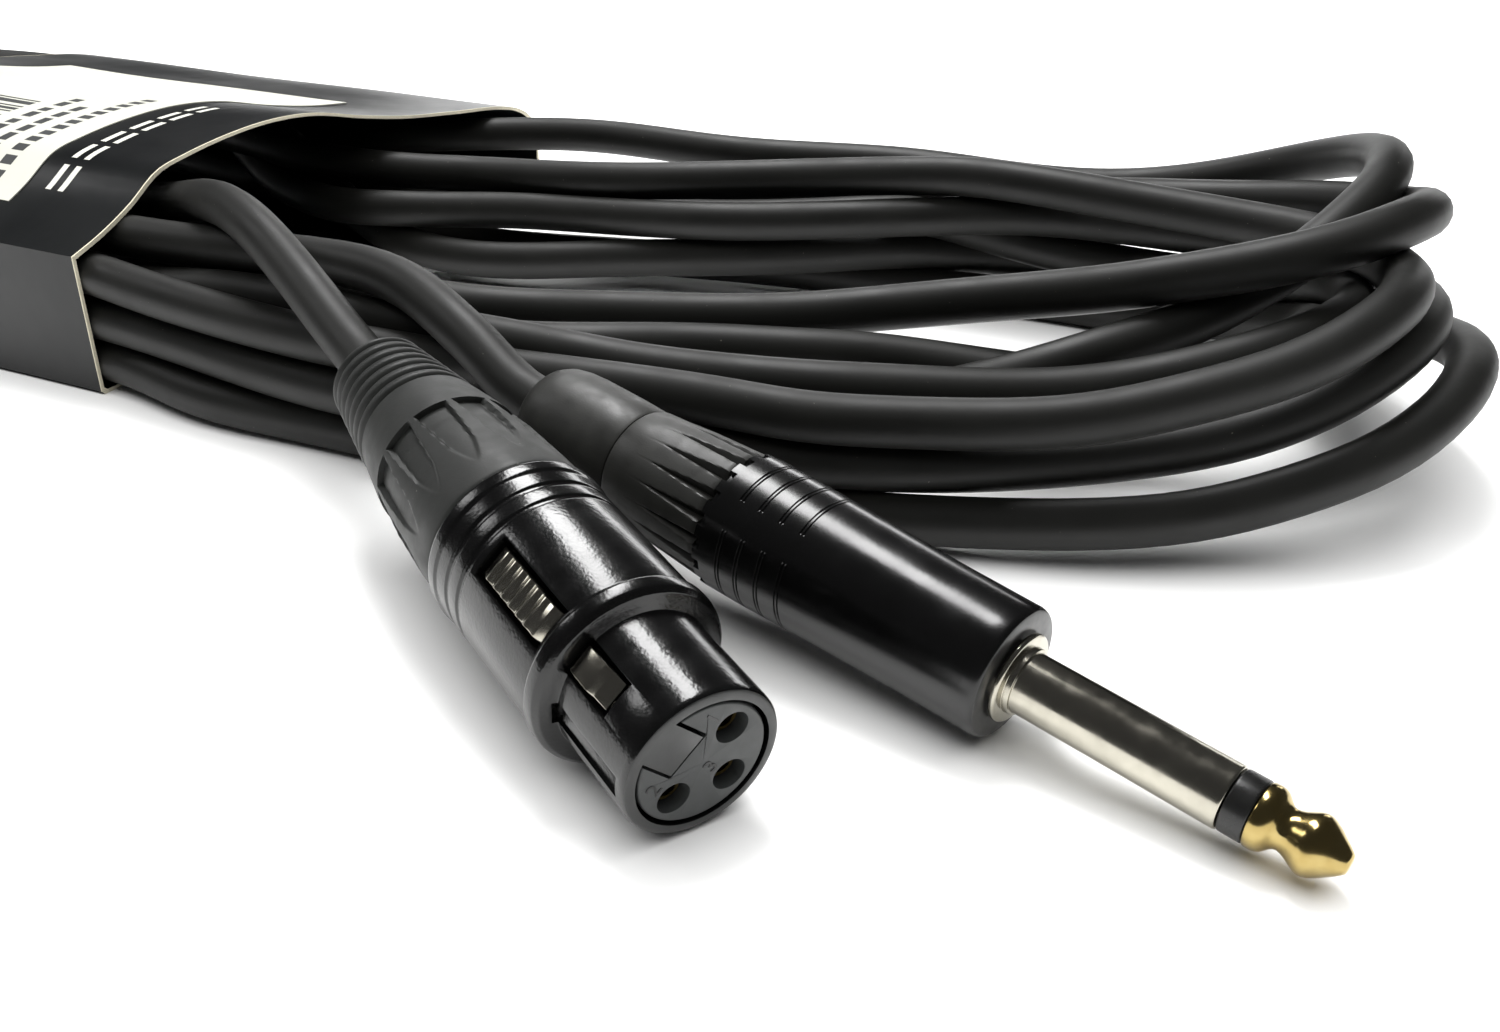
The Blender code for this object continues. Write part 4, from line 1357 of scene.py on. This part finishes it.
@dataclass
class InnerParts:
    """Pieces inside the connectors that keep their CAD shape and take a real finish."""

    finishes: dict[str, Finish] = field(default_factory=lambda: {
        # the socket contacts take the gold whose colour is darkened as painted shade
        "xlr_contact_1": SHADED_SOCKET_GOLD, "xlr_contact_2": SHADED_SOCKET_GOLD, "xlr_contact_3": SHADED_SOCKET_GOLD,
        "xlr_latch_pin": SPRING_STEEL, "xlr_latch_spring": SPRING_STEEL, "xlr_chuck": CLAMP_ACETAL,
        "xlr_bushing": ACETAL, "xlr_core_1": CORE_COPPER, "xlr_core_2": CORE_RED, "xlr_core_3": CORE_WHITE,
        "jack_tip_rod": NICKEL, "jack_rod_insulator": CLAMP_ACETAL, "jack_ground_lug": NICKEL,
        "jack_chuck": CLAMP_ACETAL, "jack_core_signal": CORE_RED, "jack_core_screen": CORE_COPPER})

    def dress(self) -> int:
        """Give each CAD node its material.

        Returns:
            How many nodes were dressed.
        """
        made: dict[str, Material] = {}
        for node, finish in self.finishes.items():
            material = made.setdefault(finish.name, finish.build())
            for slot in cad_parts[node].material_slots:
                slot.material = material
        return len(self.finishes)


# ---- studio ----
@dataclass
class Studio:
    """Camera, pale sweep and soft lights."""

    camera_place: Point = (183.0, -170.6, 89.2)
    camera_pitch: float = 61.5
    camera_turn: float = 26.0
    lens: float = 36.0
    target: Point = (90.0, 0.0, 15.0)
    fill: float = 0.07

    def camera(self) -> None:
        """Set up the camera."""
        data = bpy.data.cameras.new("camera")
        data.lens = self.lens
        data.sensor_width = 36.0
        data.clip_start = 0.005
        camera = bpy.data.objects.new("camera", data)
        camera.location = Vector(self.camera_place) * MM
        camera.rotation_euler = (math.radians(self.camera_pitch), 0.0, math.radians(self.camera_turn))
        bpy.context.scene.collection.objects.link(camera)
        bpy.context.scene.camera = camera

    def floor(self) -> None:
        """Lay the sweep: a wide level sheet of paper."""
        size, cells = 3000.0, 12
        points = [(size * (i / cells - 0.5), size * (j / cells - 0.5), 0.0)
                  for i in range(cells + 1) for j in range(cells + 1)]
        row = cells + 1
        faces = [(i * row + j, (i + 1) * row + j, (i + 1) * row + j + 1, i * row + j + 1)
                 for i in range(cells) for j in range(cells)]
        place_mesh("studio_floor", points, faces, SWEEP_PAPER.build())

    def light(self, name: str, azimuth: float, elevation: float, distance: float, size: tuple[float, float],
              power: float, glossy: bool = True) -> None:
        """Hang a soft rectangular light that faces the target.

        Args:
            name: its name.
            azimuth: degrees from +X.
            elevation: degrees above the floor.
            distance: metres from the target.
            size: metres across and along.
            power: watts.
            glossy: whether shiny surfaces mirror it.
        """
        data = bpy.data.lights.new(name, "AREA")
        data.shape = "RECTANGLE"
        data.size, data.size_y = size
        data.energy = power
        lamp = bpy.data.objects.new(name, data)
        a, e = math.radians(azimuth), math.radians(elevation)
        outward = Vector((math.cos(e) * math.cos(a), math.cos(e) * math.sin(a), math.sin(e)))
        turn = outward.to_track_quat("Z", "Y").to_matrix().to_4x4()
        lamp.matrix_world = Matrix.Translation(Vector(self.target) * MM + outward * distance) @ turn
        lamp.visible_glossy = glossy
        bpy.context.scene.collection.objects.link(lamp)

    def build(self) -> None:
        """Set everything up."""
        self.camera()
        self.floor()
        world = bpy.data.worlds.new("studio")
        world.use_nodes = True
        tree = world.node_tree
        dark = tree.nodes["Background"]
        dark.inputs["Color"].default_value = linear("#e9eaec")
        dark.inputs["Strength"].default_value = self.fill
        pale = add_node(tree, "ShaderNodeBackground", {"Color": linear("#fafafa"), "Strength": 1.0})
        seen = add_node(tree, "ShaderNodeLightPath").outputs["Is Camera Ray"]
        both = add_node(tree, "ShaderNodeMixShader", {0: seen, 1: dark.outputs[0], 2: pale.outputs[0]})
        tree.links.new(both.outputs[0], tree.nodes["World Output"].inputs["Surface"])
        bpy.context.scene.world = world
        self.light("room_bounce", 0.0, 88.0, 1.5, (2.4, 2.4), 52.0, glossy=False)
        self.light("overhead_softbox", 127.0, 62.0, 1.2, (0.32, 0.85), 15.0)
        self.light("back_strip", 100.0, 9.0, 1.4, (1.5, 0.2), 5.0)
        self.light("side_softbox", 185.0, 36.0, 1.2, (0.25, 0.3), 1.2)
        bpy.context.scene.view_settings.view_transform = "Standard"


def main() -> None:
    """Build the cable coil and its studio."""
    logging.basicConfig(level=logging.INFO, format="%(name)s: %(message)s")
    Studio().build()
    sleeve = CardSleeve()
    coil = CordCoil(sleeve)
    cord = coil.build()
    LOG.info("built %s", cord.name)
    pieces = [*sleeve.build(), *FemaleConnector(XLR).build()]
    jack = JackPlug(JACK).build()
    for piece in [*pieces, *jack]:
        LOG.info("built %s: %d faces", piece.name, len(piece.data.polygons))
    LOG.info("dressed %d inner pieces", InnerParts().dress())
    coil.declare(cord)


if __name__ == "__main__":
    main()
